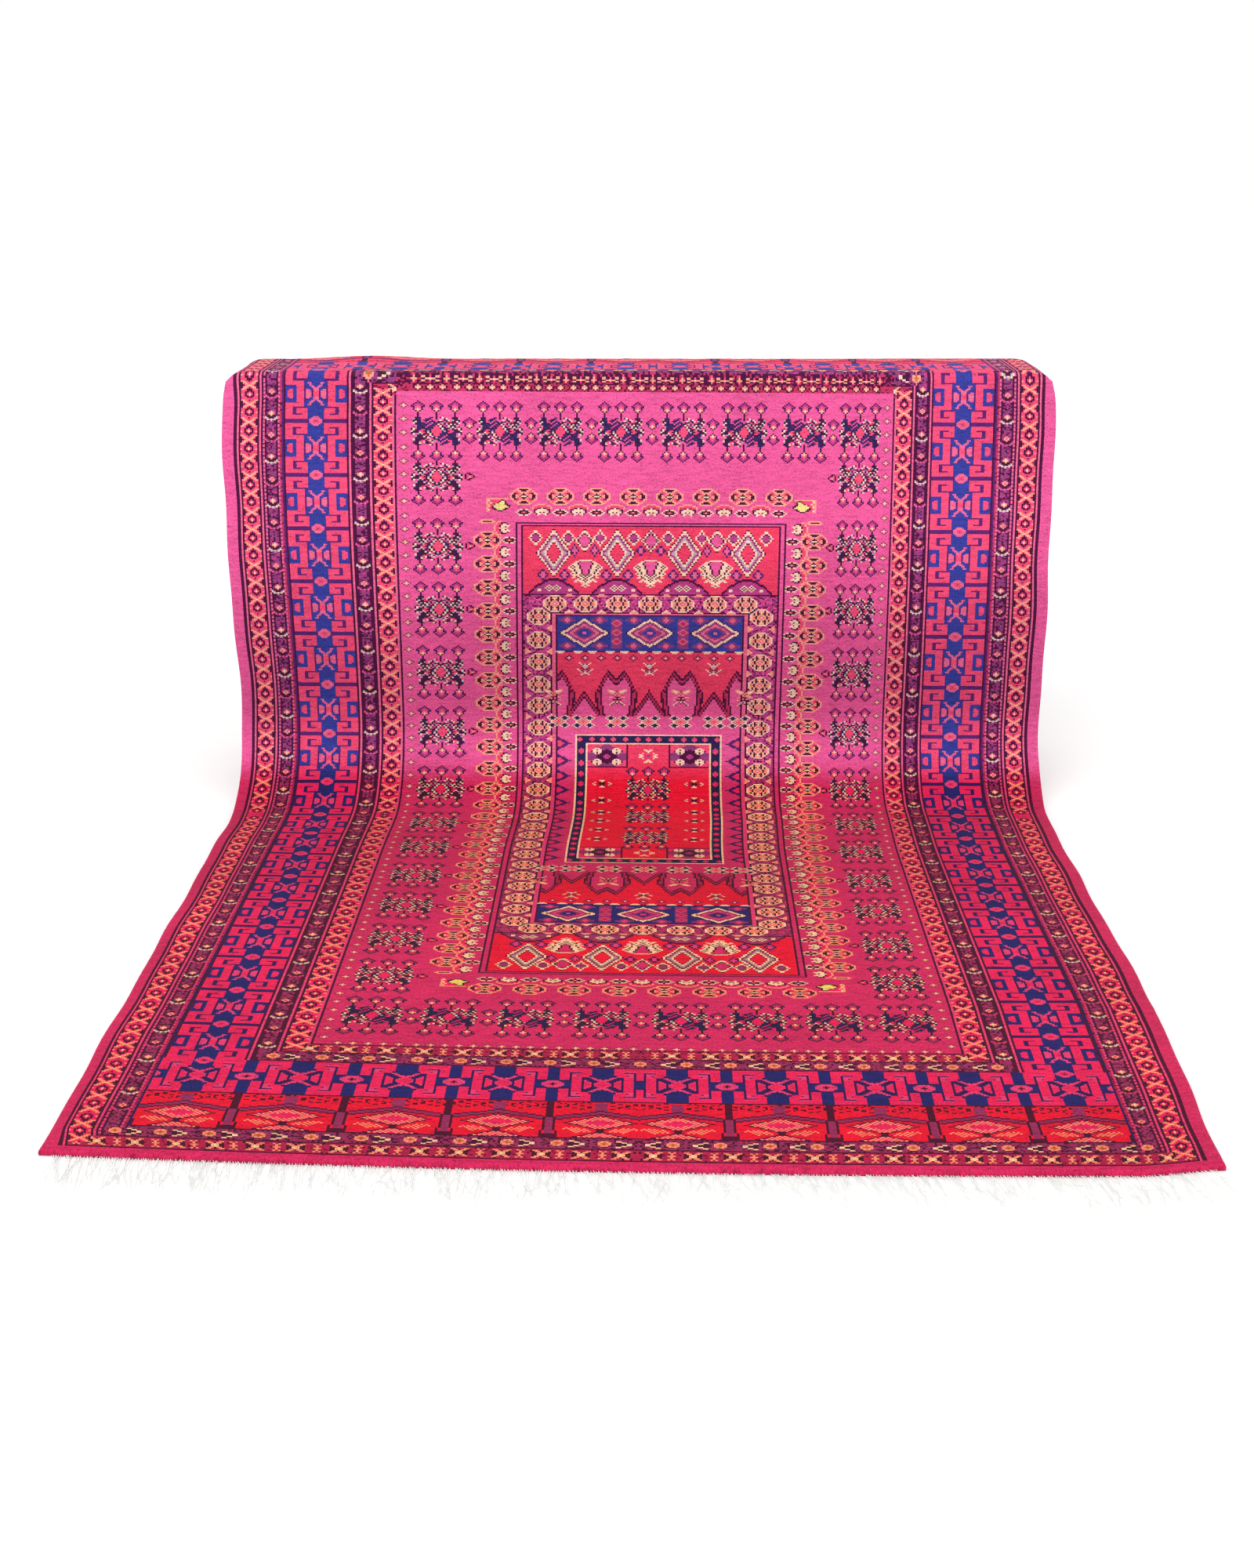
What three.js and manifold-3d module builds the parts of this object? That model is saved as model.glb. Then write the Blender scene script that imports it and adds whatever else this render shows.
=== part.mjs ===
// Turkmen pile rug with fringed ends, draped over a plain narrow table and out along the floor.
// Millimetres, +Z up, +X to the right, +Y away from the viewer, origin on the floor in the middle.

import * as THREE from "three";
import Module from "manifold-3d";

// Rug, cut flat
const RUG_WIDTH = 1264;
const RUG_LENGTH = 1820;
const PILE_HEIGHT = 8;
const EDGE_HEIGHT = 4;

// Table under the far end
const TABLE_HEIGHT = 641;
const TABLE_LENGTH = 1184;
const TOP_THICKNESS = 24;
const EDGE_ROUNDING = 3.7;
const ROUNDING_STEPS = 5;
const EDGE_CLEARANCE = 0.7;
const LEG_WIDTH = 38;
const LEG_CHAMFER = 3;
const LEG_INSET = 8;
const APRON_HEIGHT = 70;
const APRON_THICKNESS = 18;

// Small clearances
const GAP = 0.34;
const SKIN = 1e-4;

// The middle of the fold's curve, so that the origin lies under the middle of the whole
const FOLD_Y = 519.5;

// The rug's run seen from its side, from its far end behind the table to its near end on the floor.
// slope is in degrees below level at the end of a stretch, and below zero where the rug rises. The
// two stretches with no length take what is left of the table's height and of the rug's length.
const FIRST_SLOPE = -78;
const RUN = [
  { stretch: "behind the table", length: 56, slope: -78, rows: 2 },
  { stretch: "back fold", length: 8.2, slope: 0, rows: 5 },
  { stretch: "on the table", length: 132.4, slope: 0, rows: 6 },
  { stretch: "fold", length: 8.4, slope: 76, rows: 5 },
  { stretch: "upper drop", length: null, slope: 78, rows: 6 },
  { stretch: "lower drop", length: 270, slope: 85, rows: 5 },
  { stretch: "foot", length: 95, slope: 60, rows: 5 },
  { stretch: "bend", length: 98, slope: 3, rows: 9 },
  { stretch: "easing out", length: 45, slope: 0, rows: 2 },
  { stretch: "on the floor", length: null, slope: 0, rows: 12 },
];

// How the rug lies unevenly
const PATTERN_SKEW = 7;
const SIDE_DROOP = { from: 598, radius: 30, fade: 45 };
const FLOOR_SHIFT = { across: -4, blend: 150 };
const FLOOR_SWING = { linear: 30, square: -50 };
const RIGHT_CORNER = { pull: 21, reach: 330, power: 0.9, back: 10, from: 0.42 };
const LEFT_WAVE = { size: -4, length: 650, from: 0.15, blend: 60, clearOfFloor: 120 };
const EDGE_WAVES = [
  { size: 1.1, length: 263, phase: 0.4 },
  { size: 0.8, length: 141, phase: 2.1 },
];
const EDGE_WAVES_FROM = 0.42;
const TOP_HUMP = { height: 5, across: -425, halfWidth: 130, along: 78, halfLength: 75 };

// Fringe
const STRIP_WIDTH = 5;
const STRIP_HEIGHT = 3;
const STRIP_INSET = 10;
const STRANDS = 118;
const STRAND_ROOT = { width: 3.6, height: 2.6 };
const STRAND_MIDDLE = { width: 2.8, height: 2 };
const STRAND_TIP = { width: 1.6, height: 1.2 };
const STRAND_TOP_SHARE = 0.7;
const STRAND_BEND = 0.6;
const ROOT_OVERLAP = 3;
const FRINGES = [
  { name: "fringe_near", near: true, length: 58, spread: 9, lean: 0.22, wander: 0.16, seed: 3 },
  { name: "fringe_far", near: false, length: 40, spread: 6, lean: 0.1, wander: 0.2, seed: 8 },
];

const material = (color, roughness) => new THREE.MeshStandardMaterial({ color, roughness, metalness: 0 });
const PILE = material(0xb01d52, 0.9);
const COTTON = material(0xe9e4d6, 0.95);
const WOOD = material(0x8a6a48, 0.6);

const radians = THREE.MathUtils.degToRad;
const smooth = (value, low, high) => THREE.MathUtils.smoothstep(value, low, high);

// How far a stretch goes level and down for each millimetre of its length, from its two end slopes.
function pace(from, to) {
  if (Math.abs(to - from) < 1e-6) {
    return { level: Math.cos(from), down: Math.sin(from) };
  }
  return {
    level: (Math.sin(to) - Math.sin(from)) / (to - from),
    down: (Math.cos(from) - Math.cos(to)) / (to - from),
  };
}

// The run's stretches with their lengths filled in and their start points.
function layRun() {
  const run = [];
  let slope = radians(FIRST_SLOPE);
  for (const row of RUN) {
    const end = radians(row.slope);
    run.push({ ...row, from: slope, to: end, pace: pace(slope, end) });
    slope = end;
  }
  const find = (stretch) => run.find((piece) => piece.stretch === stretch);
  const fromFold = run.slice(run.indexOf(find("fold")));
  const dropped = fromFold.reduce((sum, piece) => sum + (piece.length ?? 0) * piece.pace.down, 0);
  const upperDrop = find("upper drop");
  upperDrop.length = (TABLE_HEIGHT + GAP - dropped) / upperDrop.pace.down;
  const used = run.reduce((sum, piece) => sum + (piece.length ?? 0), 0);
  find("on the floor").length = RUG_LENGTH - used;
  let along = 0;
  let y = 0;
  let z = 0;
  for (const piece of run) {
    Object.assign(piece, { start: along, y, z });
    along += piece.length;
    y -= piece.length * piece.pace.level;
    z -= piece.length * piece.pace.down;
  }
  const { y: foldY, z: foldZ } = find("fold");
  for (const piece of run) {
    piece.y += FOLD_Y - foldY;
    piece.z += TABLE_HEIGHT + GAP - foldZ;
  }
  return run;
}

const run = layRun();
const findStretch = (stretch) => run.find((piece) => piece.stretch === stretch);
const FOLD_START = findStretch("fold").start;
const FOLD_END = findStretch("upper drop").start;
const FLOOR_START = findStretch("easing out").start;

// The underside's point, and the slope there, at a distance along the run.
function pathAt(along) {
  const last = run.length - 1;
  const index = run.findIndex((piece, i) => i === last || along < run[i + 1].start);
  const piece = run[index];
  const distance = along - piece.start;
  const turned = piece.from === piece.to ? 0 : ((piece.to - piece.from) * distance) / piece.length;
  const step = pace(piece.from, piece.from + turned);
  const y = piece.y - distance * step.level;
  const z = piece.z - distance * step.down;
  return { y, z, slope: piece.from + turned };
}

const bump = (offset) => (Math.abs(offset) < 1 ? (1 + Math.cos(Math.PI * offset)) / 2 : 0);

// A point of the draped rug: across and along on the flat rug, lift above its underside.
function place(across, along, lift) {
  const side = Math.sign(across);
  const share = across / RUG_WIDTH;
  const s = along + PATTERN_SKEW * share;
  const path = pathAt(s);
  const onTop = 1 - smooth(s, FOLD_START, FOLD_END + SIDE_DROOP.fade);
  const onFloor = smooth(s, FLOOR_START, FLOOR_START + FLOOR_SHIFT.blend);

  const past = Math.max(0, Math.abs(across) - SIDE_DROOP.from);
  const tilt = (past * onTop) / SIDE_DROOP.radius;
  const reach = tilt > 1e-6 ? (past * Math.sin(tilt)) / tilt : past;
  const sink = tilt > 1e-6 ? (past * (1 - Math.cos(tilt))) / tilt : 0;
  let x = side * (Math.abs(across) - past + reach + lift * Math.sin(tilt));
  const out = lift * Math.cos(tilt) - sink;

  const toEnd = Math.max(0, RUG_LENGTH - along);
  const corner = Math.max(0, 1 - toEnd / RIGHT_CORNER.reach) ** RIGHT_CORNER.power;
  const right = Math.max(0, 2 * share);
  x -= RIGHT_CORNER.pull * corner * right * right;
  x += FLOOR_SHIFT.across * onFloor * (1 - Math.max(0, -2 * share) ** 2);
  const offFold = smooth(s, FOLD_END, FOLD_END + LEFT_WAVE.blend);
  const onDrop = offFold * (1 - smooth(s, FLOOR_START - LEFT_WAVE.clearOfFloor, FLOOR_START));
  const leftness = smooth(-share, LEFT_WAVE.from, 0.5);
  x += LEFT_WAVE.size * Math.sin((2 * Math.PI * (s - FOLD_END)) / LEFT_WAVE.length) * leftness * onDrop;
  for (const wave of EDGE_WAVES) {
    const turn = (2 * Math.PI * s) / wave.length + wave.phase * (2 - side);
    x += side * wave.size * Math.sin(turn) * smooth(Math.abs(share), EDGE_WAVES_FROM, 0.5);
  }

  const ahead = (FLOOR_SWING.linear * share + FLOOR_SWING.square * share * share) * onFloor;
  const humpAcross = bump((across - TOP_HUMP.across) / TOP_HUMP.halfWidth);
  const hump = TOP_HUMP.height * humpAcross * bump((along - TOP_HUMP.along) / TOP_HUMP.halfLength);
  const back = RIGHT_CORNER.back * corner * smooth(share, RIGHT_CORNER.from, 0.5);
  const y = path.y - out * Math.sin(path.slope) - ahead + back;
  const z = path.z + out * Math.cos(path.slope) + hump;
  return new THREE.Vector3(x, y, z);
}

// A closed body through equal rings of points. Each ring runs over the top and back along the
// underside, so its ends close with one strip of faces.
function loft(rings) {
  const size = rings[0].length;
  const positions = rings.flat().flatMap((point) => [point.x, point.y, point.z]);
  const index = [];
  const quad = (a, b, c, d) => index.push(a, c, b, a, d, c);
  for (let r = 0; r + 1 < rings.length; r += 1) {
    for (let i = 0; i < size; i += 1) {
      const next = (i + 1) % size;
      quad(r * size + i, r * size + next, (r + 1) * size + next, (r + 1) * size + i);
    }
  }
  const last = (rings.length - 1) * size;
  for (let i = 0; i + 1 < size / 2; i += 1) {
    const below = size - 1 - i;
    quad(i, below, below - 1, i + 1);
    quad(last + i, last + i + 1, last + below - 1, last + below);
  }
  const geometry = new THREE.BufferGeometry();
  geometry.setAttribute("position", new THREE.Float32BufferAttribute(positions, 3));
  geometry.setIndex(index);
  return geometry;
}

// Where the rows and columns of the rug's faces lie, closer at its rim, fold and bend.
const RIM = [
  { inset: 0, height: EDGE_HEIGHT },
  { inset: 2.5, height: 0.9 * PILE_HEIGHT },
  { inset: 8, height: PILE_HEIGHT },
];
const COLUMNS = [105, 210, 310, 400, 480, 550, SIDE_DROOP.from, 606, 615];
const CLEAR_OF_ENDS = 20;
const STRAIGHT_END = { from: 10, to: 60 };

function rimHeight(inset) {
  const row = RIM.find((candidate) => inset <= candidate.inset + SKIN);
  return row ? row.height : PILE_HEIGHT;
}

function columns() {
  const rim = RIM.map((row) => RUG_WIDTH / 2 - row.inset);
  const right = [...COLUMNS, ...rim.toReversed()];
  return [...right.toReversed().map((x) => -x), 0, ...right];
}

function rows() {
  const alongs = [];
  for (const piece of run) {
    for (let i = 0; i < piece.rows; i += 1) {
      alongs.push(piece.start + (piece.length * i) / piece.rows);
    }
  }
  const inner = alongs.filter((along) => Math.min(along, RUG_LENGTH - along) > CLEAR_OF_ENDS);
  const far = RIM.map((row) => row.inset);
  const near = RIM.map((row) => RUG_LENGTH - row.inset).toReversed();
  return [...far, ...inner, ...near];
}

// The rows follow the fold and the bend, which the rug crosses a little askew, but not its cut ends.
function rugBody() {
  const across = columns();
  const half = RUG_WIDTH / 2;
  const rings = rows().map((row) => {
    const toEnd = Math.min(row, RUG_LENGTH - row);
    const height = (x) => Math.min(rimHeight(toEnd), rimHeight(half - Math.abs(x)));
    const askew = (PATTERN_SKEW / RUG_WIDTH) * smooth(toEnd, STRAIGHT_END.from, STRAIGHT_END.to);
    const top = across.map((x) => place(x, row - askew * x, height(x)));
    const underside = across.toReversed().map((x) => place(x, row - askew * x, 0));
    return [...top, ...underside];
  });
  return loft(rings);
}

// A repeatable scatter between -1 and 1 for each strand.
function scatter(seed, index) {
  const value = Math.sin(seed * 78.233 + index * 12.9898) * 43758.5453;
  return 2 * (value - Math.floor(value)) - 1;
}

// The narrow woven strip just past an end of the rug, which the strands grow from.
function fringeStrip(fringe) {
  const half = RUG_WIDTH / 2 - STRIP_INSET;
  const low = fringe.near ? RUG_LENGTH + GAP : -GAP - STRIP_WIDTH;
  const high = low + STRIP_WIDTH;
  const inner = columns().filter((x) => Math.abs(x) < half - SKIN);
  return loft([-half, ...inner, half].map((x) => [
    place(x, high, STRIP_HEIGHT),
    place(x, low, STRIP_HEIGHT),
    place(x, low, 0),
    place(x, high, 0),
  ]));
}

// A strand's section: flat underneath, narrower on top.
function strandSection(point, size, up, right) {
  const half = size.width / 2;
  const corner = (across, lift) => point.clone().addScaledVector(right, across).addScaledVector(up, lift);
  return [
    corner(-STRAND_TOP_SHARE * half, size.height),
    corner(STRAND_TOP_SHARE * half, size.height),
    corner(half, 0),
    corner(-half, 0),
  ];
}

// One strand. It goes straight on from the rug's end, level on the floor or hanging behind the table.
function strand(fringe, index) {
  const half = RUG_WIDTH / 2 - STRIP_INSET - STRAND_ROOT.width;
  const across = THREE.MathUtils.lerp(-half, half, index / (STRANDS - 1));
  const edge = fringe.near ? RUG_LENGTH + GAP + STRIP_WIDTH : -GAP - STRIP_WIDTH;
  const root = place(across, edge, 0);
  const { slope } = pathAt(edge);
  const up = new THREE.Vector3(0, -Math.sin(slope), Math.cos(slope));
  const side = fringe.near ? 1 : -1;
  const away = new THREE.Vector3(0, -Math.cos(slope), -Math.sin(slope)).multiplyScalar(side);
  const right = new THREE.Vector3(side, 0, 0);
  const onwards = (point, angle, step) => point.clone()
    .addScaledVector(right, side * step * Math.sin(angle))
    .addScaledVector(away, step * Math.cos(angle));
  const step = (fringe.length + fringe.spread * scatter(fringe.seed, index)) / 2;
  const angle = fringe.lean + fringe.wander * scatter(fringe.seed + 1, index);
  const turn = STRAND_BEND * fringe.wander * scatter(fringe.seed + 2, index);
  const inside = root.clone().addScaledVector(away, -ROOT_OVERLAP);
  const middle = onwards(root, angle, step);
  const tip = onwards(middle, angle + turn, step);
  return loft([
    strandSection(inside, STRAND_ROOT, up, right),
    strandSection(middle, STRAND_MIDDLE, up, right),
    strandSection(tip, STRAND_TIP, up, right),
  ]);
}

const wasm = await Module();
wasm.setup();

function toSolid(geometry) {
  return new wasm.Manifold(new wasm.Mesh({
    numProp: 3,
    vertProperties: new Float32Array(geometry.attributes.position.array),
    triVerts: new Uint32Array(geometry.index.array),
  }));
}

function toGeometry(solid) {
  const mesh = solid.getMesh();
  const geometry = new THREE.BufferGeometry();
  geometry.setAttribute("position", new THREE.Float32BufferAttribute(mesh.vertProperties, 3));
  geometry.setIndex(Array.from(mesh.triVerts));
  return geometry;
}

function fringeBody(fringe) {
  let solid = toSolid(fringeStrip(fringe));
  for (let i = 0; i < STRANDS; i += 1) {
    solid = solid.add(toSolid(strand(fringe, i)));
  }
  return toGeometry(solid);
}

// The table's plain parts
const tableFront = FOLD_Y - EDGE_CLEARANCE;
const tableBack = FOLD_Y + findStretch("on the table").length + EDGE_CLEARANCE;
const underTop = TABLE_HEIGHT - TOP_THICKNESS;

// The top is a board whose upper edges are rounded all round.
function tableTopBody() {
  const half = TABLE_LENGTH / 2;
  const layer = (inset, z) => [
    new THREE.Vector3(inset - half, tableFront + inset, z),
    new THREE.Vector3(inset - half, tableBack - inset, z),
    new THREE.Vector3(half - inset, tableBack - inset, z),
    new THREE.Vector3(half - inset, tableFront + inset, z),
  ];
  const layers = [layer(0, underTop)];
  for (let i = 0; i <= ROUNDING_STEPS; i += 1) {
    const angle = (Math.PI / 2) * (i / ROUNDING_STEPS);
    const inset = EDGE_ROUNDING * (1 - Math.cos(angle));
    layers.push(layer(inset, TABLE_HEIGHT - EDGE_ROUNDING * (1 - Math.sin(angle))));
  }
  return loft(layers);
}

function legBody() {
  const h = LEG_WIDTH / 2;
  const c = h - LEG_CHAMFER;
  const outline = new THREE.Shape();
  outline.moveTo(-c, -h);
  for (const [x, y] of [[c, -h], [h, -c], [h, c], [c, h], [-c, h], [-h, c], [-h, -c]]) {
    outline.lineTo(x, y);
  }
  return new THREE.ExtrudeGeometry(outline, { depth: underTop - GAP, bevelEnabled: false });
}

const group = new THREE.Group();

function add(name, geometry, finish, x = 0, y = 0, z = 0) {
  geometry.computeVertexNormals();
  const mesh = new THREE.Mesh(geometry, finish);
  mesh.name = name;
  mesh.position.set(x, y, z);
  group.add(mesh);
}

add("rug", rugBody(), PILE);
for (const fringe of FRINGES) {
  add(fringe.name, fringeBody(fringe), COTTON);
}
add("table_top", tableTopBody(), WOOD);

const legX = TABLE_LENGTH / 2 - LEG_INSET - LEG_WIDTH / 2;
const legFront = tableFront + LEG_INSET + LEG_WIDTH / 2;
const legBack = tableBack - LEG_INSET - LEG_WIDTH / 2;
for (const [side, x] of [["left", -legX], ["right", legX]]) {
  for (const [end, y] of [["front", legFront], ["back", legBack]]) {
    add(`leg_${end}_${side}`, legBody(), WOOD, x, y, 0);
  }
}

const apronZ = underTop - GAP - APRON_HEIGHT / 2;
const longApron = 2 * legX - LEG_WIDTH - 2 * GAP;
const shortApron = legBack - legFront - LEG_WIDTH - 2 * GAP;
const alongTable = new THREE.BoxGeometry(longApron, APRON_THICKNESS, APRON_HEIGHT);
const acrossTable = new THREE.BoxGeometry(APRON_THICKNESS, shortApron, APRON_HEIGHT);
add("apron_front", alongTable, WOOD, 0, legFront, apronZ);
add("apron_back", alongTable.clone(), WOOD, 0, legBack, apronZ);
add("apron_left", acrossTable, WOOD, -legX, (legFront + legBack) / 2, apronZ);
add("apron_right", acrossTable.clone(), WOOD, legX, (legFront + legBack) / 2, apronZ);

export default group;
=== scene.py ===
"""Turkmen rug draped over a plain narrow table.

The rug is one sheet on the folds of its solid. Its knots are charted here, for the most part as figures
and bands that are drawn once and mirrored. Each face of the sheet carries the colours of its few knots.
"""
import math
import bpy
import numpy as np
from bpy.props import FloatProperty, FloatVectorProperty, IntProperty, PointerProperty
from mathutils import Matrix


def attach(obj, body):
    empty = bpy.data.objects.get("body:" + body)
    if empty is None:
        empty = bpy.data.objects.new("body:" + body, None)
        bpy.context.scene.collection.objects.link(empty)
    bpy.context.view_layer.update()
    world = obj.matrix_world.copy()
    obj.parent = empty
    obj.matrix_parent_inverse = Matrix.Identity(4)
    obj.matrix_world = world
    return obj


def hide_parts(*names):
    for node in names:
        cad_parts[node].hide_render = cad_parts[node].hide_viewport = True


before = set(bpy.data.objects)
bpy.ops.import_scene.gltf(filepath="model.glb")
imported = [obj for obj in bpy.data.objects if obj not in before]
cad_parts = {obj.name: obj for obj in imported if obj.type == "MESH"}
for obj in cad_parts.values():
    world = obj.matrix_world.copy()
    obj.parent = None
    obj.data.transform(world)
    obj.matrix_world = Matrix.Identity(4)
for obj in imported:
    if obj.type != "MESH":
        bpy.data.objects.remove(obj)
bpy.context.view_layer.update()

bl_info = {
    "name": "Turkmen rug over a table",
    "version": (1, 0, 0),
    "blender": (4, 5, 0),
    "location": "View3D > Sidebar > Rug",
    "description": "Dresses the draped rug, its fringes and the table",
    "category": "Object",
}

MM = 0.001
NEARLY_STRAIGHT = 1e-6

# The drape, as the part's source has it

RUG_WIDTH = 1264.0
RUG_LENGTH = 1820.0
PILE_HEIGHT = 8.0
TABLE_HEIGHT = 641.0
GAP = 0.34
FOLD_Y = 519.5
FIRST_SLOPE = -78
# stretch, its length, the slope at its end in degrees below level
RUN = [
    ("behind the table", 56, -78),
    ("back fold", 8.2, 0),
    ("on the table", 132.4, 0),
    ("fold", 8.4, 76),
    ("upper drop", None, 78),
    ("lower drop", 270, 85),
    ("foot", 95, 60),
    ("bend", 98, 3),
    ("easing out", 45, 0),
    ("on the floor", None, 0),
]
PATTERN_SKEW = 7
DROOP_FROM, DROOP_RADIUS, DROOP_FADE = 598, 30, 45
SHIFT_ACROSS, SHIFT_BLEND = -4, 150
SWING_LINEAR, SWING_SQUARE = 30, -50
CORNER_PULL, CORNER_REACH, CORNER_POWER, CORNER_BACK, CORNER_FROM = 21, 330, 0.9, 10, 0.42
WAVE_SIZE, WAVE_LENGTH, WAVE_FROM, WAVE_BLEND, WAVE_CLEAR = -4, 650, 0.15, 60, 120
EDGE_WAVES = [(1.1, 263, 0.4), (0.8, 141, 2.1)]
EDGE_WAVES_FROM = 0.42
HUMP_HEIGHT, HUMP_ACROSS, HUMP_HALF_WIDTH, HUMP_ALONG, HUMP_HALF_LENGTH = 5, -425, 130, 78, 75


def smooth(value, low, high):
    share = np.clip((value - low) / (high - low), 0, 1)
    return share * share * (3 - 2 * share)


def bump(offset):
    return np.where(np.abs(offset) < 1, (1 + np.cos(np.pi * offset)) / 2, 0)


def pace(start, end):
    """How far a stretch goes level and down for each millimetre of its length."""
    if abs(end - start) < NEARLY_STRAIGHT:
        return math.cos(start), math.sin(start)
    turn = end - start
    return (math.sin(end) - math.sin(start)) / turn, (math.cos(start) - math.cos(end)) / turn


def lay_run():
    run = []
    slope = math.radians(FIRST_SLOPE)
    for stretch, length, end in RUN:
        end = math.radians(end)
        run.append({"name": stretch, "length": length, "from": slope, "to": end, "pace": pace(slope, end)})
        slope = end
    names = [piece["name"] for piece in run]
    fold = names.index("fold")
    dropped = sum(piece["length"] * piece["pace"][1] for piece in run[fold:] if piece["length"])
    upper = run[names.index("upper drop")]
    upper["length"] = (TABLE_HEIGHT + GAP - dropped) / upper["pace"][1]
    run[-1]["length"] = RUG_LENGTH - sum(piece["length"] for piece in run if piece["length"])
    along = y = z = 0.0
    for piece in run:
        piece.update(start=along, y=y, z=z)
        along += piece["length"]
        y -= piece["length"] * piece["pace"][0]
        z -= piece["length"] * piece["pace"][1]
    fold_y, fold_z = run[fold]["y"], run[fold]["z"]
    for piece in run:
        piece["y"] += FOLD_Y - fold_y
        piece["z"] += TABLE_HEIGHT + GAP - fold_z
    return run


run = lay_run()
START = {piece["name"]: piece["start"] for piece in run}
FOLD_START, FOLD_END, FLOOR_START = START["fold"], START["upper drop"], START["easing out"]


def path_at(along):
    """The underside's points and slopes at distances along the run."""
    y, z, slope = (np.zeros_like(along) for _ in range(3))
    for index, piece in enumerate(run):
        low = piece["start"] if index else -np.inf
        high = run[index + 1]["start"] if index < len(run) - 1 else np.inf
        here = (along >= low) & (along < high)
        distance = along[here] - piece["start"]
        turned = (piece["to"] - piece["from"]) * distance / piece["length"]
        straight = np.abs(turned) < NEARLY_STRAIGHT
        turn = np.where(straight, 1, turned)
        start = piece["from"]
        level = np.where(straight, np.cos(start), (np.sin(start + turn) - np.sin(start)) / turn)
        down = np.where(straight, np.sin(start), (np.cos(start) - np.cos(start + turn)) / turn)
        y[here] = piece["y"] - distance * level
        z[here] = piece["z"] - distance * down
        slope[here] = start + turned
    return y, z, slope


def place(across, along, lift):
    """Points of the draped rug: across and along on the flat rug, lift above its underside."""
    across, along, lift = np.broadcast_arrays(*(np.asarray(v, float) for v in (across, along, lift)))
    side = np.sign(across)
    share = across / RUG_WIDTH
    s = along + PATTERN_SKEW * share
    path_y, path_z, slope = path_at(s)
    on_top = 1 - smooth(s, FOLD_START, FOLD_END + DROOP_FADE)
    on_floor = smooth(s, FLOOR_START, FLOOR_START + SHIFT_BLEND)

    past = np.maximum(0, np.abs(across) - DROOP_FROM)
    tilt = past * on_top / DROOP_RADIUS
    turned = tilt > NEARLY_STRAIGHT
    angle = np.where(turned, tilt, 1)
    reach = np.where(turned, past * np.sin(angle) / angle, past)
    sink = np.where(turned, past * (1 - np.cos(angle)) / angle, 0)
    x = side * (np.abs(across) - past + reach + lift * np.sin(tilt))
    out = lift * np.cos(tilt) - sink

    to_end = np.maximum(0, RUG_LENGTH - along)
    corner = np.maximum(0, 1 - to_end / CORNER_REACH) ** CORNER_POWER
    right = np.maximum(0, 2 * share)
    x = x - CORNER_PULL * corner * right * right
    x = x + SHIFT_ACROSS * on_floor * (1 - np.maximum(0, -2 * share) ** 2)
    off_floor = 1 - smooth(s, FLOOR_START - WAVE_CLEAR, FLOOR_START)
    on_drop = smooth(s, FOLD_END, FOLD_END + WAVE_BLEND) * off_floor
    leftness = smooth(-share, WAVE_FROM, 0.5)
    x = x + WAVE_SIZE * np.sin(2 * np.pi * (s - FOLD_END) / WAVE_LENGTH) * leftness * on_drop
    for size, length, phase in EDGE_WAVES:
        turn = 2 * np.pi * s / length + phase * (2 - side)
        x = x + side * size * np.sin(turn) * smooth(np.abs(share), EDGE_WAVES_FROM, 0.5)

    ahead = (SWING_LINEAR * share + SWING_SQUARE * share * share) * on_floor
    hump = bump((across - HUMP_ACROSS) / HUMP_HALF_WIDTH) * bump((along - HUMP_ALONG) / HUMP_HALF_LENGTH)
    back = CORNER_BACK * corner * smooth(share, CORNER_FROM, 0.5)
    y = path_y - out * np.sin(slope) - ahead + back
    z = path_z + out * np.cos(slope) + HUMP_HEIGHT * hump
    return np.stack([x, y, z], axis=-1) * MM


# The chart of the knots

COLUMNS = 453
ROWS = 904
KNOT_WIDTH = RUG_WIDTH / COLUMNS
KNOT_LENGTH = RUG_LENGTH / ROWS
DESIGN_ROWS = 907            # the design's last rows are cut off at the near end
MIDDLE_ROW = 453
MIDDLE_COLUMN = 226
REPEAT = 40                  # knots from one ring of the main border to the next

# letter, colour where the rug hangs, with painted sheen, colour where it lies on the floor, with painted
# shade: lit and shaded copies of each yarn
COLOURS = [
    ("D", 0x4B143C, 0x460E28),    # dark outlines
    ("R", 0xE74B73, 0xD61F4F),    # red of the hooks
    ("b", 0x56266C, 0x2E1648),    # dark purple lines
    ("B", 0x363C94, 0x22205C),    # blue
    ("p", 0xE1648C, 0xD23764),    # pink
    ("c", 0xF0CAB0, 0xE6B48A),    # cream
    ("a", 0xF09A86, 0xE68260),    # peach
    ("o", 0xBE6438, 0xB4502D),    # orange brown
    ("u", 0x8A3C74, 0x8A2850),    # purple ground
    ("m", 0xDF5793, 0xC12653),    # crimson of the margin and the field
    ("S", 0xE23E62, 0xD7122D),    # bright red of the lozenges' ground
    ("g", 0xB09CAA, 0x9A8078),    # grey
    ("y", 0xE6D282, 0xD8BE5A),    # yellow
    ("r", 0xB8325A, 0xA41C40),    # dark red ground
    ("n", 0x2A2450, 0x221A38),    # navy
    ("v", 0xB03C80, 0x8C2C50),    # light purple
]
LETTERS = "".join(letter for letter, _, _ in COLOURS)

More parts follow.
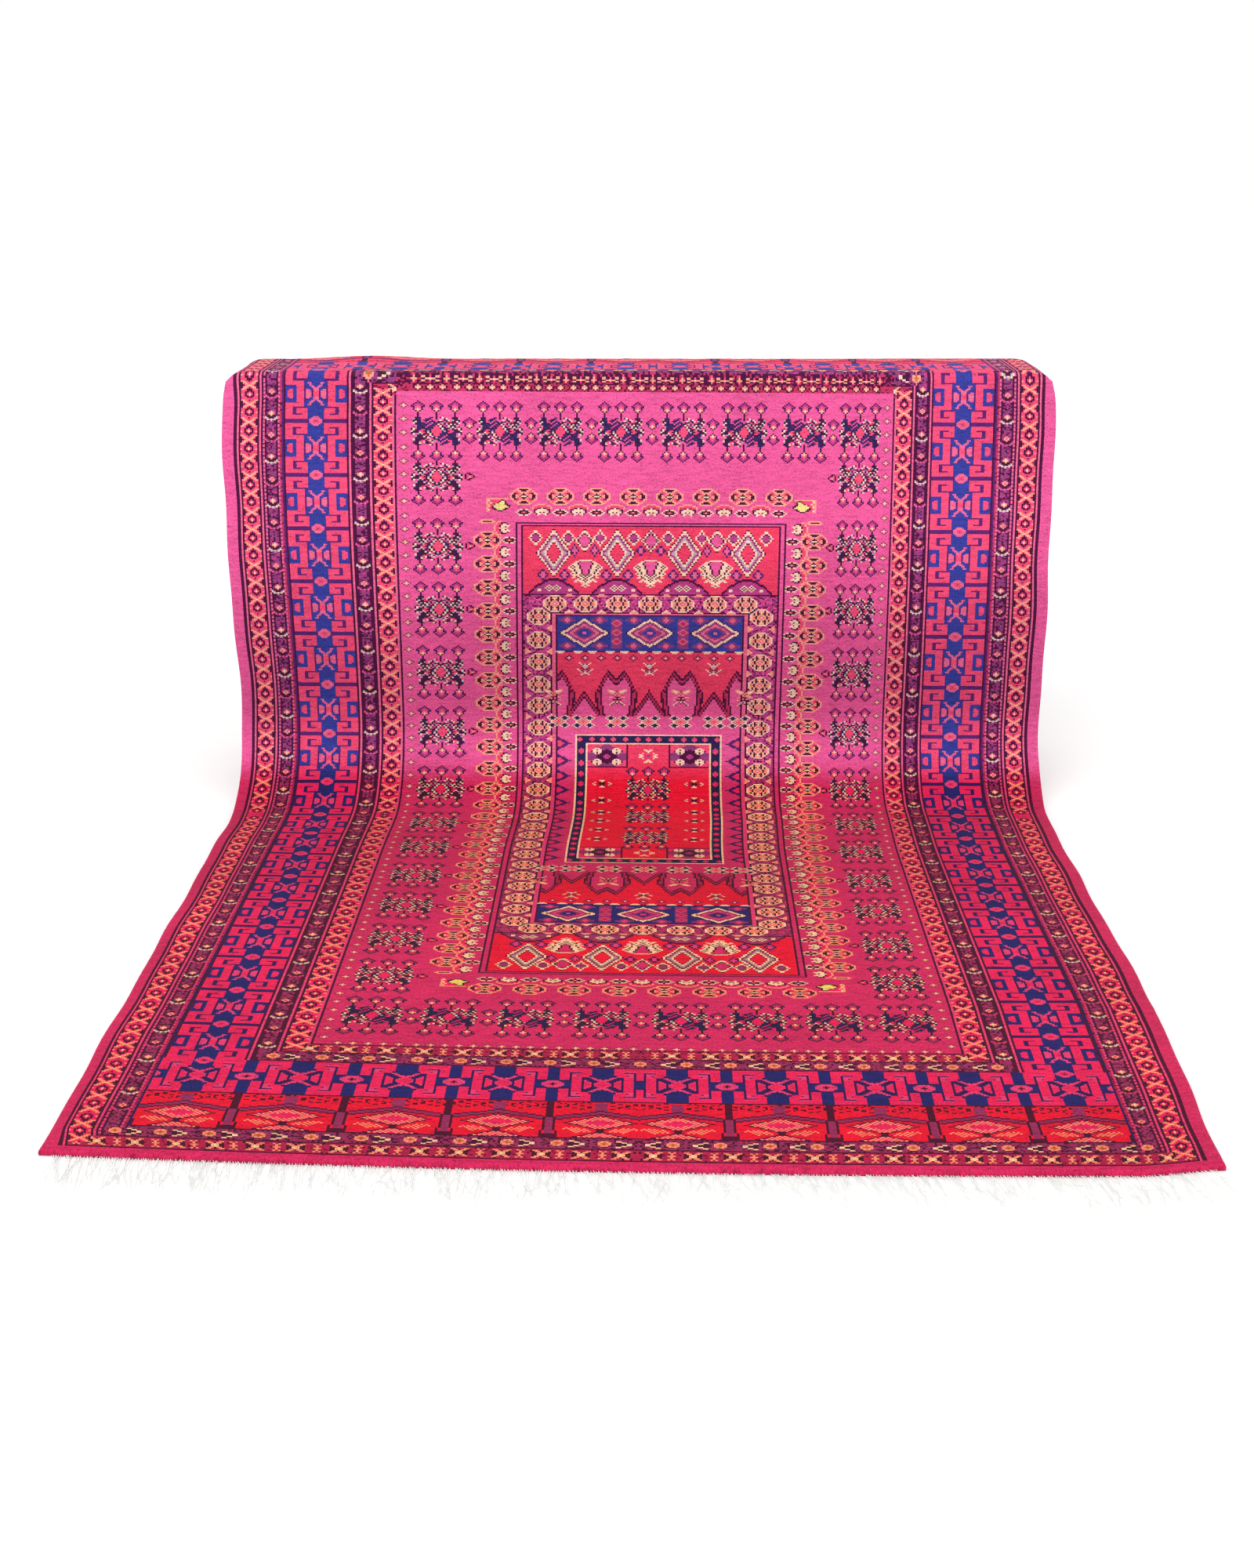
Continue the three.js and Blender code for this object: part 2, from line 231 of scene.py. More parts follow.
# The side border's unit, one line a row from the ring's row to the star's, from the spine outwards
SIDE_UNIT = """
rRppbbbbbbbbbbbbbD
RRppbbbbbbbbbbbbbD
pppBBRRRRRRRRRRRRD
ppBBBRRRRRRRRRRRRD
BBBBBRRRRRRRRRRRRD
BBBBBRRRbbbbbRRRRD
BBBBBRRRRRRbbRRRRD
BBBBBRRRRRRbbRRRRD
BBBBBRRRRRRbbRRRRD
BBBBBRRRRRRbbRRRRD
BBBBBbbbbbbbbRRRRD
BBBBBBBRRRRRRRRRRD
BBBppBBRRRRRRRRRRD
BBBpBBBRRRRRRRRRRD
BBppBBbRRRRBBBBBBD
BppBBBbRRRRBBBBBBD
ppBBBBbRRRRBBBBBBD
ppBBppbRRRRBBRRBBD
pRbpppbRRRRBBRRRBD
RRbpppbRRRRBBRRRBD
RRbpppbRRRRBBRRRBD
""".split()

# The end border's unit, one line a row from its middle to its edge, from the ring's column to the star's
END_UNIT = """
DDpppBBBRRRRbRRRbRRRR
DppppBBBRRRRbRRRbpRRR
ppppBBBBRRRRbRRpbbpRR
pppBBBBBRRRRbRpbbbbpR
bbbbbbbbRRRRbpbbbbppp
BBBRRRRbRRRRbbbbbpppb
BBBRRRRbRRRRbbbbppbbB
BBBRRRRbRRRRbbbppBBBB
BBBRRRRbpppRRRRbBBBBB
BBBRRRRbppbRRRRbBBBBB
BBBRRRRbpppRRRRRBBBBB
BBBRRRRbppppRRRRBBBBB
BBBRRRRbbbbbRRRRBBBBB
BBBRRRRpppppRRRRBBBBB
BBBRRRRRRRRRRRRRBBBBB
BBBRRRRRRRRRRRRRBBBBB
BBBRRRRRRRRRRRRRBBBBB
""".split()

# The plain grounds of the nested frames, from the outermost inwards: letter, first row, last column
GROUNDS = [
    ("m", 0, 226), ("D", 7, 219), ("r", 8, 215), ("D", 17, 206), ("u", 18, 203), ("D", 27, 194),
    ("S", 28, 192), ("D", 61, 192), ("R", 62, 192), ("D", 95, 157), ("u", 96, 155), ("D", 105, 148),
    ("r", 106, 145), ("D", 114, 136), ("m", 115, 134),
]
# The lines between the side bands: first column, letters outwards, first row
SIDE_LINES = [
    (216, "DpDD", 7), (204, "DpD", 17), (193, "br", 27), (156, "Dp", 95), (146, "DpD", 105), (135, "Dp", 114),
]
MAIN_SIDE = 175
MAIN_END = 78
FIRST_RING = 93
BORDER_COLUMNS = 230
EMPTY = -1


def both(half):
    """Half a row or half a figure with its mirror image. The last of the half is the middle one."""
    return half + half[-2::-1]


def mirrored(text):
    """A figure from the left half of each of its rows."""
    return [both(line) for line in text.split()]


def quartered(text):
    """A figure from its upper left quarter."""
    return both(mirrored(text))


def unit(lines):
    return np.array([[LETTERS.index(letter) for letter in line] for line in lines])


class Chart:
    """A quarter of a design in palette numbers: rows from the far end, columns from its middle line.

    Rows past the last one are mirrored, so that row r stands for row mirror_sum - r too. Knots that
    nothing is drawn on stay EMPTY where the quarter lies over another one.
    """

    def __init__(self, rows, columns, mirror_sum, ground=None):
        self.knots = np.full((rows, columns), EMPTY if ground is None else LETTERS.index(ground))
        self.row, self.column = np.indices(self.knots.shape)
        self.mirror_sum = mirror_sum

    def paint(self, letter, where):
        self.knots[where] = LETTERS.index(letter)

    def inside(self, row_from, row_to, column_from, column_to):
        return ((self.row >= row_from) & (self.row <= row_to)
                & (self.column >= column_from) & (self.column <= column_to))

    def holds(self, letter):
        return self.knots == LETTERS.index(letter)

    def nest(self, grounds):
        """Paints grounds one inside another, each from its first row on and out to its last column."""
        for letter, first_row, last_column in grounds:
            self.paint(letter, (self.row >= first_row) & (self.column <= last_column))

    def block(self, letter, row_from, row_to, column_from, column_to):
        self.paint(letter, self.inside(row_from, row_to, column_from, column_to))

    def lozenge(self, letters, row, column, half_height, half_width, within):
        """Nested lozenges, given as (letter, share of the size) pairs from the outermost inwards."""
        shape = np.abs(self.row - row) / half_height + np.abs(self.column - column) / half_width
        for letter, share in letters:
            self.paint(letter, within & (shape <= share))

    def stamp(self, lines, row, column, turned=False):
        """Sets a small charted figure with its middle at a knot. A full stop leaves a knot as it is."""
        figure = np.array([list(line) for line in lines])
        if turned:
            figure = figure.T[:, ::-1]
        height, width = figure.shape
        rows, columns = self.knots.shape
        for (i, j), letter in np.ndenumerate(figure):
            r, c = int(round(row)) - height // 2 + i, abs(int(round(column)) - width // 2 + j)
            if r >= rows:
                r = self.mirror_sum - r
            if letter != "." and 0 <= r < rows and c < columns:
                self.knots[r, c] = LETTERS.index(letter)

    def spread(self, knots):
        """Lays the quarter and its three mirrored copies over a full chart."""
        rows = np.arange(ROWS)
        rows = np.minimum(rows, self.mirror_sum - rows)
        columns = np.abs(np.arange(COLUMNS) - MIDDLE_COLUMN)
        usable = columns < self.knots.shape[1]
        laid = self.knots[rows][:, np.minimum(columns, self.knots.shape[1] - 1)]
        drawn = (laid != EMPTY) & usable
        knots[drawn] = laid[drawn]


def draw_frames(chart):
    chart.nest(GROUNDS)
    for first_column, letters, first_row in SIDE_LINES:
        for step, letter in enumerate(letters):
            chart.paint(letter, (chart.column == first_column + step) & (chart.row >= first_row))


def from_nearest(steps, first):
    """How far each row or column is from the nearest of the places that are REPEAT knots apart."""
    return np.abs((steps - first + REPEAT // 2) % REPEAT - REPEAT // 2)


CORNER_RING = quartered("...pp ..ppp .ppRr ppRrr")


def draw_main_border(chart):
    side, end = unit(SIDE_UNIT), unit(END_UNIT)
    side_reach, end_reach = side.shape[1] - 1, len(end) - 1
    from_spine = np.abs(chart.column - MAIN_SIDE)
    here = (from_spine <= side_reach) & (chart.row >= FIRST_RING)
    chart.knots[here] = side[from_nearest(chart.row, FIRST_RING)[here], from_spine[here]]
    from_middle = np.abs(chart.row - MAIN_END)
    here = (from_middle <= end_reach) & (chart.column <= MAIN_SIDE + side_reach)
    from_ring = from_nearest(chart.column, MAIN_SIDE + REPEAT // 2)
    chart.knots[here] = end[from_middle[here], from_ring[here]]
    chart.stamp(CORNER_RING, FIRST_RING, MAIN_SIDE)


def repeats(first, period, last):
    return [int(round(first + period * i)) for i in range(int((last - first) / period) + 1)]


CROSS = quartered("aa.. .aa. ..ac ..cc")
BAR = quartered("a. .a .a aa")
SIDE_CROSS = mirrored("""
aaRRD
DaaRR
DRaaR
DDRac
DRaaR
DaaRD
aaRDD
""")
SIDE_RING = mirrored("""
RRRDD
RRDDR
RRDRa
aRDRc
RRDDR
RRRDD
""")
FLOWER = quartered(".aa aao aoo")
CHEVRON = """
....cc.
..ccDD.
ccDDDD.
ccDDDD.
..ccDD.
....cc.
""".split()
SIDE_FLOWER = mirrored("""
..va
.vac
..ac
.DDa
gDDD
cgDD
.cgc
...g
""")


# The narrow bands, outer ones first. At the ends: middle row, last column, where each of its figures
# starts. At the sides: middle column, first row.
CROSS_BANDS, CROSS_STEP = ((12, 212, 5.7, 13.3), (109, 140, 13.4, 5.8)), 15.25
FLOWER_BANDS, FLOWER_STEP = ((22, 202, 13), (100, 154, 0.3)), 18.4
SIDE_CROSS_BANDS, SIDE_CROSS_STEP = ((211, 14), (141, 112)), REPEAT / 3
SIDE_FLOWER_BANDS, SIDE_FLOWER_STEP = ((199, 32), (152, 110)), 16.3
# The columns with red behind their crosses: the first of them, their first row
RED_BANDS, RED_WIDTH = ((207, 17), (137, 115)), 9
# The lines of the flower bands: dark line, dashes beside it, first row
FLOWER_LINES = ((202, 203, 18), (196, 195, 18), (155, 156, 96), (149, 148, 96))


def draw_narrow_bands(chart):
    row, column = chart.row, chart.column
    speckle = np.random.default_rng(8).random(chart.knots.shape)
    purple = chart.holds("u")
    chart.paint("D", purple & (speckle < 0.34))
    chart.paint("v", purple & (speckle > 0.88))
    chart.paint("D", chart.holds("r") & (speckle < 0.12))
    for first_column, first_row in RED_BANDS:
        chart.block("R", first_row, MIDDLE_ROW, first_column, first_column + RED_WIDTH - 1)
    for line, dashes, first_row in FLOWER_LINES:
        chart.paint("D", (column == line) & (row >= first_row))
        chart.paint("p", (column == dashes) & (row >= first_row) & (row % 3 > 0) & purple)
    for middle, last, crosses, bars in CROSS_BANDS:
        for place in repeats(crosses, CROSS_STEP, last):
            chart.block("D", middle - 2, middle + 2, place - 3, place + 3)
            chart.stamp(CROSS, middle, place)
        for place in repeats(bars, CROSS_STEP, last):
            chart.stamp(BAR, middle, place)
    for middle, first in SIDE_CROSS_BANDS:
        for place in repeats(first, SIDE_CROSS_STEP, MIDDLE_ROW):
            chart.stamp(SIDE_CROSS, place, middle)
        for place in repeats(first + SIDE_CROSS_STEP / 2, SIDE_CROSS_STEP, MIDDLE_ROW):
            chart.stamp(SIDE_RING, place, middle)
    for middle, last, first in FLOWER_BANDS:
        for place in repeats(first, FLOWER_STEP, last):
            chart.stamp(FLOWER, middle, place)
            if place > 8:
                chart.stamp(CHEVRON, middle, place - 7)


def put(knots, lines, row, column):
    """Sets a figure with its middle at a knot of the full chart."""
    figure = np.array([list(line) for line in lines])
    for (i, j), letter in np.ndenumerate(figure):
        r, c = row - figure.shape[0] // 2 + i, column - figure.shape[1] // 2 + j
        if letter != "." and 0 <= r < ROWS and 0 <= c < COLUMNS:
            knots[r, c] = LETTERS.index(letter)


def put_pair(knots, lines, row, column):
    """Sets a figure to the right of the middle line and its mirror image to the left."""
    for side in (-1, 1):
        put(knots, [line[::side] for line in lines], row, MIDDLE_COLUMN + side * column)


def draw_side_flowers(knots):
    """The flowers of the narrow side bands all face the near end, by turns with a light and a pink bow."""
    pink = [line.replace("c", "p").replace("g", "v") for line in SIDE_FLOWER]
    for column, first in SIDE_FLOWER_BANDS:
        for place, row in enumerate(repeats(first, SIDE_FLOWER_STEP, DESIGN_ROWS - first)):
            put_pair(knots, pink if place % 2 else SIDE_FLOWER, row, column)


LOZENGE_ROWS, LOZENGE_LAST = (28, 60), 192
# Half of a lozenge's height and of its width
LOZENGE_HEIGHT, LOZENGE_WIDTH = 7, 14.5


def draw_lozenges(chart):
    """Lozenges under tents, with thin wavy lines over them."""
    row, column = chart.row, chart.column
    off = from_nearest(column, MAIN_SIDE)
    zone = chart.inside(*LOZENGE_ROWS, 0, LOZENGE_LAST)
    hatch = (row + column) % 2 == 0
    for line in (59, 57, 55):
        wave = np.round(0.8 * np.sin(column * 0.55 + line)).astype(int)
        chart.paint("D", zone & (row == line + wave) & (column % 3 > 0))
    tent = 52 - np.round(off * 6 / 19).astype(int)
    for low, letter in enumerate("DuuD"):
        chart.paint(letter, zone & (row == tent - low))
    chart.paint("u", zone & (off <= 2) & (row > tent) & (row < LOZENGE_ROWS[1]))
    chart.paint("D", zone & (off >= 19) & (row > tent))
    for middle, first in ((41, 0), (26, 28)):
        shape = np.abs(row - middle) / LOZENGE_HEIGHT + off / LOZENGE_WIDTH
        above = zone & (row >= first)
        for letter, size in (("D", 1.0), ("a", 0.87), ("R", 0.42)):
            chart.paint(letter, above & (shape <= size))
        chart.paint("R", above & (shape <= 0.87) & (shape > 0.42) & hatch)
    chart.paint("D", zone & (off <= 1) & (row >= 32) & (row <= 35))
    flame = np.abs(row - 33 - off / 6) / 2.5 + np.abs(off - 9) / 7
    clear = np.abs(row - 41) / LOZENGE_HEIGHT + off / LOZENGE_WIDTH > 1.1
    chart.paint("a", zone & (flame <= 1) & hatch & clear)
    stem = zone & (row >= 29) & (row <= 45)
    chart.paint("u", stem & (off >= 19))
    chart.paint("D", stem & (off == 18 - (row < 34)))
    chart.paint("D", zone & (row >= 28) & (row <= 30) & (off >= 17 + (row - 28) // 2))


BALL = mirrored("""
...D
..Dv
.Dvv
Dvvm
bDmR
.bRa
.bac
..Da
...b
""")
BUD = """
..DD.
.DD.D
DRpRD
DRaRD
.DD.D
..DD.
""".split()
TINY = quartered("..u .ua uac")
# A close pair of rows at the far end, then even steps to the near end
PLANT_ROWS = [140, 174, *repeats(226, 48.4, 760)]
PLANT_COLUMN = 115
# A quarter of a plant, from its outer row down to the row of its heart, and outwards from its middle
PLANT_QUARTER = """
D........D...
D.gc....DDc..
D..gDc..cDDg.
..c.DgcRgDDc.
.gDc.DRRDDcg.
cD.gD.DDgDDc.
gcD.cgDcDgD..
RgcD.gcDDcg..
RRgcDRgDcD.g.
RRDcgDDgDg.cg
RRRgcDRRcDDcD
RRRDgcDRRgDgc
""".split()
IN_THE_DARK = {"c": "b", "g": "n", "D": "n"}


# How far a plant reaches from its heart, how far its dark strokes do, and where its balls and necks are
PLANT_SIDE = len(PLANT_QUARTER[0]) - 1
PLANT_UP = len(PLANT_QUARTER) - 1
DARK_SIDE = 9
HEAD_COLUMNS = (-9, 0, 9)
HEAD_REACH, END_HEAD_REACH = 17, 18
HEAD_NECK = 4


def draw_plant(knots, row, column, dark=False, reach=HEAD_REACH, heads=(-1, 1)):
    """A flowering plant: latticed strokes round a red heart, three balls above and three below.

    The strokes are dashed, light and dark by turns. Where dark is set, those of two opposite quarters
    are dark as far as the plant's side tips.
    """
    for offset in HEAD_COLUMNS:
        for side in heads:
            put(knots, BALL[::-side], row + side * reach, column + offset)
            for r in range(PLANT_UP, reach - HEAD_NECK):
                put(knots, ["D"], row + side * r, column + offset)
    for up in range(-PLANT_UP, PLANT_UP + 1):
        for side in range(-PLANT_SIDE, PLANT_SIDE + 1):
            letter = PLANT_QUARTER[PLANT_UP - abs(up)][abs(side)]
            if dark and up * side > 0 and abs(side) <= DARK_SIDE:
                letter = IN_THE_DARK.get(letter, letter)
            elif letter in "cg" and (side + up // 2) % 2:
                letter = "n"
            put(knots, [letter], row + up, column + side)


# The columns of the end rows' plants and of the balls between them, and the dots along the field's edge
END_PLANT_COLUMNS = (17, 50, 83, PLANT_COLUMN)
BALL_COLUMNS = (0, 33, 66, 99)
DOT_COLUMN, DOT_ROW, DOT_STEP, DOT_ROW_STEP = 131, 790, 10.2, 6.1


def draw_field(knots):
    """Rows of eight plants with balls between them at the two ends, pairs of plants at the sides."""
    for row in (PLANT_ROWS[0], PLANT_ROWS[-1]):
        for column in END_PLANT_COLUMNS:
            for side in (-1, 1):
                draw_plant(knots, row, MIDDLE_COLUMN + side * column, True, END_HEAD_REACH)
        for column in BALL_COLUMNS:
            put_pair(knots, BALL, row - 6, column)
            put_pair(knots, BALL[::-1], row + 5, column)
    for row in PLANT_ROWS[1:-1]:
        for side in (-1, 1):
            heads = (1,) if row == PLANT_ROWS[1] else (-1, 1)
            draw_plant(knots, row, MIDDLE_COLUMN + side * PLANT_COLUMN, heads=heads)
        put_pair(knots, BUD, row, BALL_COLUMNS[-1])
    for row in repeats(121, DOT_STEP, 785):
        put_pair(knots, TINY, row, DOT_COLUMN)
    for column in repeats(3, DOT_ROW_STEP, 129):
        put_pair(knots, TINY, DOT_ROW, column)


FRAME_FLOWER = quartered("""
....aaaa
...aaDDD
..aRaaDD
.aRRRaaa
aaDDRRaD
aDDaRaDD
aDDaaDcc
""")
LEAF = mirrored("""
...aaa
.aaRRR
aRRRRR
aRRDDc
.DDccc
.Dcccc
.DccDc
..Dcc.
...c..
""")
SMALL_DIAMOND = quartered("..ccD .cDDD cDDra")
CORNER_LEAF = """
.aaaaaaaaaaaa
...DDRRRRRRca
..DyyDRRRRRaa
..DyyyDRRRcRa
.DDyyyyyDRRaa
DDyyyyyyyRRca
DyyyyyyyyDRaa
.DDyyyyyDDRRa
..DDyyyDD.Rca
....DDD....aa
""".split()
ROSETTE = quartered("""
.....ccc
....cDaa
...caDac
..cDaDDc
.caDcDaa
.caaDaaR
.caRDaRc
""")
TULIP = mirrored("""
......cccc
....ccDmmm
...ccDmmmm
..cccDmmmm
.cDcccDmmm
cDcDccDmmm
ccDcccDmmm
.ccDcccDmm
..cDcccDmm
..ccDccDmm
.cDcDccDmm
..ccccDcDm
...cDccDcD
..cc.DccDc
.....cDccD
....ccccDc
...cc.cccD
.......ccc
........cc
.......ccD
.........c
""")
HILL_FLOWER = quartered("..c.. .cDc. cDcDc")
STAR = quartered("""
..c....
.cnnc..
cnnnnc.
.cnnc.a
..cc.aR
..c.aRR
""")
WINGS = mirrored("""
aa....
acca.r
.accar
..aara
....ar
......
.aa.DD
....aD
.a.DDD
......
...cDc
..cD.D
.cD...
""")
SPRIG = quartered("....cc ...D.c .c..DD cD.DDD")
CREAM_CROSS = quartered("""
....cc.
.....cc
......c
...c...
.cc...v
..cc.vv
""")


MEDALLION_ROWS, MEDALLION_COLUMNS = 456, 99
FRAME_STEP_ACROSS, FRAME_STEP_ALONG = 20, 18
# The nested grounds: letter, first row, last column
MEDALLION_GROUNDS = [
    ("D", 208, 74), ("m", 209, 73), ("D", 210, 71), ("S", 211, 70), ("D", 262, 70), ("v", 263, 70),
    ("D", 276, 55), ("p", 277, 54), ("D", 278, 52), ("B", 279, 51), ("D", 306, 51), ("S", 307, 51),
    ("m", 358, 51),
]
# The middle columns of the panels' figures, which come by turns in two kinds
FIRST_KIND, SECOND_KIND = (0, 36.5), (18.5, 53.5)


def draw_medallion():
    chart = Chart(MEDALLION_ROWS, MEDALLION_COLUMNS, 2 * MEDALLION_ROWS - 1)
    # the frame of flowers: leaves and small diamonds on its inner side
    for column in repeats(0, FRAME_STEP_ACROSS, 60):
        chart.stamp(LEAF, 198, column)
        chart.stamp(SMALL_DIAMOND, 200, column + FRAME_STEP_ACROSS // 2)
        chart.stamp(FRAME_FLOWER, 188, column + FRAME_STEP_ACROSS // 2)
    for row in repeats(212, FRAME_STEP_ALONG, MEDALLION_ROWS):
        chart.stamp(LEAF, row, 82, turned=True)
    for row in repeats(221, FRAME_STEP_ALONG, MEDALLION_ROWS):
        chart.stamp(SMALL_DIAMOND, row, 78)
        chart.stamp(FRAME_FLOWER, row, 90)
    chart.stamp(CORNER_LEAF, 195, 84)
    chart.stamp(quartered(".aaaa aaDDD"), 207, 90)
    chart.nest(MEDALLION_GROUNDS)
    speckle = np.random.default_rng(9).random(chart.knots.shape)
    light = chart.holds("v")
    chart.paint("D", light & (speckle < 0.2))
    chart.paint("m", light & (speckle > 0.75))
    draw_hanging_diamonds(chart)
    draw_rosettes(chart)
    draw_blue_panel(chart)
    draw_crown(chart)
    draw_niche(chart)
    return chart


LIGHT_DIAMOND = [
    ("D", 1.06), ("c", 1.0), ("D", 0.88), ("v", 0.84), ("g", 0.72), ("c", 0.6), ("D", 0.5), ("S", 0.44),
]
HILL_REACH = 14


def draw_hanging_diamonds(chart):
    panel = chart.inside(212, 261, 0, 69)
    for column in SECOND_KIND:
        chart.lozenge(LIGHT_DIAMOND, 230.5, column, 17.5, 9.5, panel)
        off = np.abs(chart.column - column)
        hill = 250 + 11 * (off / HILL_REACH) ** 1.6
        on_hill = panel & (off <= HILL_REACH)
        chart.paint("v", on_hill & (chart.row >= hill))
        chart.paint("D", on_hill & (np.abs(chart.row - hill) <= 1.0))
        chart.stamp(HILL_FLOWER, 257, column)
        for offset in (-6, 6):
            chart.lozenge([("b", 1), ("p", 0.62)], 247, column + offset, 5, 3.2, panel)
            chart.stamp(["cc", "cc"], 259, column + 1.4 * offset)
    for column in (9.5, 28, 45.5, 63.5):
        chart.lozenge([("c", 1), ("D", 0.76), ("v", 0.6)], 219, column, 6, 3.8, panel)
    for column in FIRST_KIND:
        chart.lozenge([("D", 1.06), ("c", 1), ("D", 0.8), ("m", 0.66)], 221, column, 8.5, 5.2, panel)
        chart.stamp(TULIP, 246, column)
        for offset in (-5.5, 5.5):
            chart.lozenge([("b", 1), ("p", 0.55)], 228.5, column + offset, 5, 2.8, panel)


def draw_rosettes(chart):
    for column in (0, 18, 36, 53):
        chart.stamp(ROSETTE, 269, column)
    for column in (9, 27, 45):
        chart.stamp(mirrored("..c .cc caa"), 275, column)
        chart.stamp(mirrored(".aa aaa"), 263, column)
    arrow = both(["a..", "aa.", "aac"])
    for row in repeats(279, 17.6, MEDALLION_ROWS):
        chart.stamp(ROSETTE, row, 62)
        chart.stamp(arrow, row + 9, 56)
        chart.stamp([line[::-1] for line in arrow], row + 9, 68)


BLUE_DIAMOND = [("D", 1.08), ("c", 1), ("u", 0.84), ("p", 0.66), ("u", 0.52), ("B", 0.34), ("p", 0.12)]


def draw_blue_panel(chart):
    panel = chart.inside(279, 304, 0, 51)
    chart.block("u", 281, 303, 16, 21)
    for row in (284, 291, 298):
        chart.lozenge([("p", 1), ("r", 0.5)], row, SECOND_KIND[0], 3.4, 3.4, panel)
    for column in (9, 28, 46):
        for row in (281.5, 301.5):
            chart.lozenge([("u", 1.2), ("p", 0.6)], row, column, 2.6, 4.5, panel)
    for column in FIRST_KIND:
        chart.lozenge(BLUE_DIAMOND, 291.5, column, 11, 13.5, panel)
    for column in repeats(4.5, 9, 50):
        chart.stamp(["ccccc", ".ccc."], 307, column)
    for column in repeats(0, 9, 50):
        chart.stamp(quartered("...D ..Dp .Dpc"), 311, column)


CROWN_BUD = mirrored("...gg ..D.c c..DD .cD.g ..gDc ...cc ..c..")


def draw_crown(chart):
    """Flame-topped lobes: pink under a double dark line, by turns wide with two tips and narrow with one."""
    row, column = chart.row, chart.column
    zone = chart.inside(312, 357, 0, 51)
    narrow = np.minimum(column, np.abs(column - FIRST_KIND[1]))
    wide = np.minimum(*(np.abs(column - middle) for middle in SECOND_KIND))
    tip = np.interp(wide, [0, 4.5, 8, 11.5], [327, 320.5, 328, 338])
    width = np.interp(row, [338, 346, 357], [12.3, 11.6, 10.2])
    for offset, letter in ((0, "D"), (2.2, "r"), (4.4, "D"), (6.2, "m")):
        chart.paint(letter, zone & (row >= 336 + offset + 2.1 * narrow))
        chart.paint(letter, zone & (row >= tip + offset) & (wide <= width - 0.62 * offset))
    for middle in SECOND_KIND:
        chart.stamp(WINGS, 342, middle)
    for middle in FIRST_KIND:
        chart.stamp(CROWN_BUD, 321, middle)
        chart.stamp(mirrored(".c... ..cDg ...cc"), 316, middle)
    for middle in (0, 18.5, 37, 51):
        chart.stamp(STAR, 362, middle)


NICHE_BLOSSOM = ["..ccc..", ".ccDcc.", "DcccccD", ".ccDcc.", "..c.c.."]


def draw_niche(chart):
    row, column = chart.row, chart.column
    chart.nest([("c", 373, 41), ("n", 374, 40), ("c", 380, 35), ("S", 381, 34)])
    for middle in repeats(0, 6.5, 39):
        chart.stamp([".R.", "RRR", "RRR", ".R."], 377, middle)
    for middle in repeats(386, 9.5, MEDALLION_ROWS + 1):
        chart.stamp(quartered(".R RR RR"), middle, 38)
    for middle in repeats(380, 13.5, MEDALLION_ROWS + 1):
        chart.lozenge([("b", 1), ("R", 0.62)], middle, 52, 6, 8, chart.inside(373, 455, 43, 51))
    box = chart.inside(381, 399, 12, 34)
    inner = chart.inside(381, 398, 13, 34)
    chart.paint("u", box)
    chart.paint("D", box & ~inner)
    chart.paint("R", inner & (np.abs(row - 390.5) / 9 + np.abs(column - 23.5) / 11 > 1.25))
    chart.lozenge([("D", 1), ("v", 0.35)], 390.5, 23.5, 6, 7, box)
    for blossom_row in (386, 395):
        for blossom_column in (18, 29):
            chart.stamp(NICHE_BLOSSOM, blossom_row, blossom_column)
    chart.stamp(CREAM_CROSS, 390, 0)
    for middle in (414, 431, 448):
        chart.stamp(SPRIG, middle, 26)


def across(reach):
    """The columns within a number of knots of the middle line."""
    return slice(MIDDLE_COLUMN - reach, MIDDLE_COLUMN + reach + 1)


# The far end's bands: the main border's rows with the rows that they move up by, the guard's rows with
# theirs, and the first rows of the three bands inside them
FAR_MAIN, FAR_MAIN_MOVE = (60, 94), 4
FAR_GUARD, FAR_GUARD_MOVE = (95, 105), 6
FAR_CROSSES, FAR_DOTS, FAR_MARGIN, FAR_END = 99, 106, 111, 118
FAR_REACH, FAR_LAST = 134, 130
FAR_CROSS = mirrored("DD... aaDDR DDaac aaDDR DD...")
FAR_BAR = mirrored("D.R D.a .aa D.a D.R")
FAR_DOT = mirrored("..D .Da Daa Dac .Da ..D")


def draw_far_bands(knots):
    """The bands at the far end are narrower, with the small diamonds on a red ground."""
    dark, red = LETTERS.index("D"), LETTERS.index("r")
    guard = knots[slice(*FAR_GUARD), across(156)].copy()
    main = knots[slice(*FAR_MAIN), across(192)].copy()
    knots[FAR_MAIN[0] - FAR_MAIN_MOVE:FAR_MAIN[1] - FAR_MAIN_MOVE, across(192)] = main
    knots[FAR_GUARD[0] - FAR_GUARD_MOVE:FAR_GUARD[1] - FAR_GUARD_MOVE, across(156)] = guard
    grain = np.random.default_rng(10).random((FAR_MARGIN - FAR_CROSSES, 2 * FAR_REACH + 1))
    dark_share = np.where(np.arange(FAR_CROSSES, FAR_MARGIN) < FAR_DOTS, 0.62, 0.2)[:, None]
    knots[FAR_CROSSES:FAR_MARGIN, across(FAR_REACH)] = np.where(grain < dark_share, dark, red)
    knots[FAR_MARGIN:FAR_END, across(FAR_REACH)] = LETTERS.index("m")
    figures = ((FAR_CROSS, 102, 7.4, 15.75), (FAR_BAR, 102, 0, 15.75), (FAR_DOT, 108, 0, 6.2))
    for figure, row, first, step in figures:
        for column in repeats(first, step, FAR_LAST):
            put_pair(knots, figure, row, column)


# The rows of the niche's plants, each with the sides on which it has balls
NICHE_PLANTS = [(420, (-1,)), (456, (-1,)), (494, (-1, 1))]


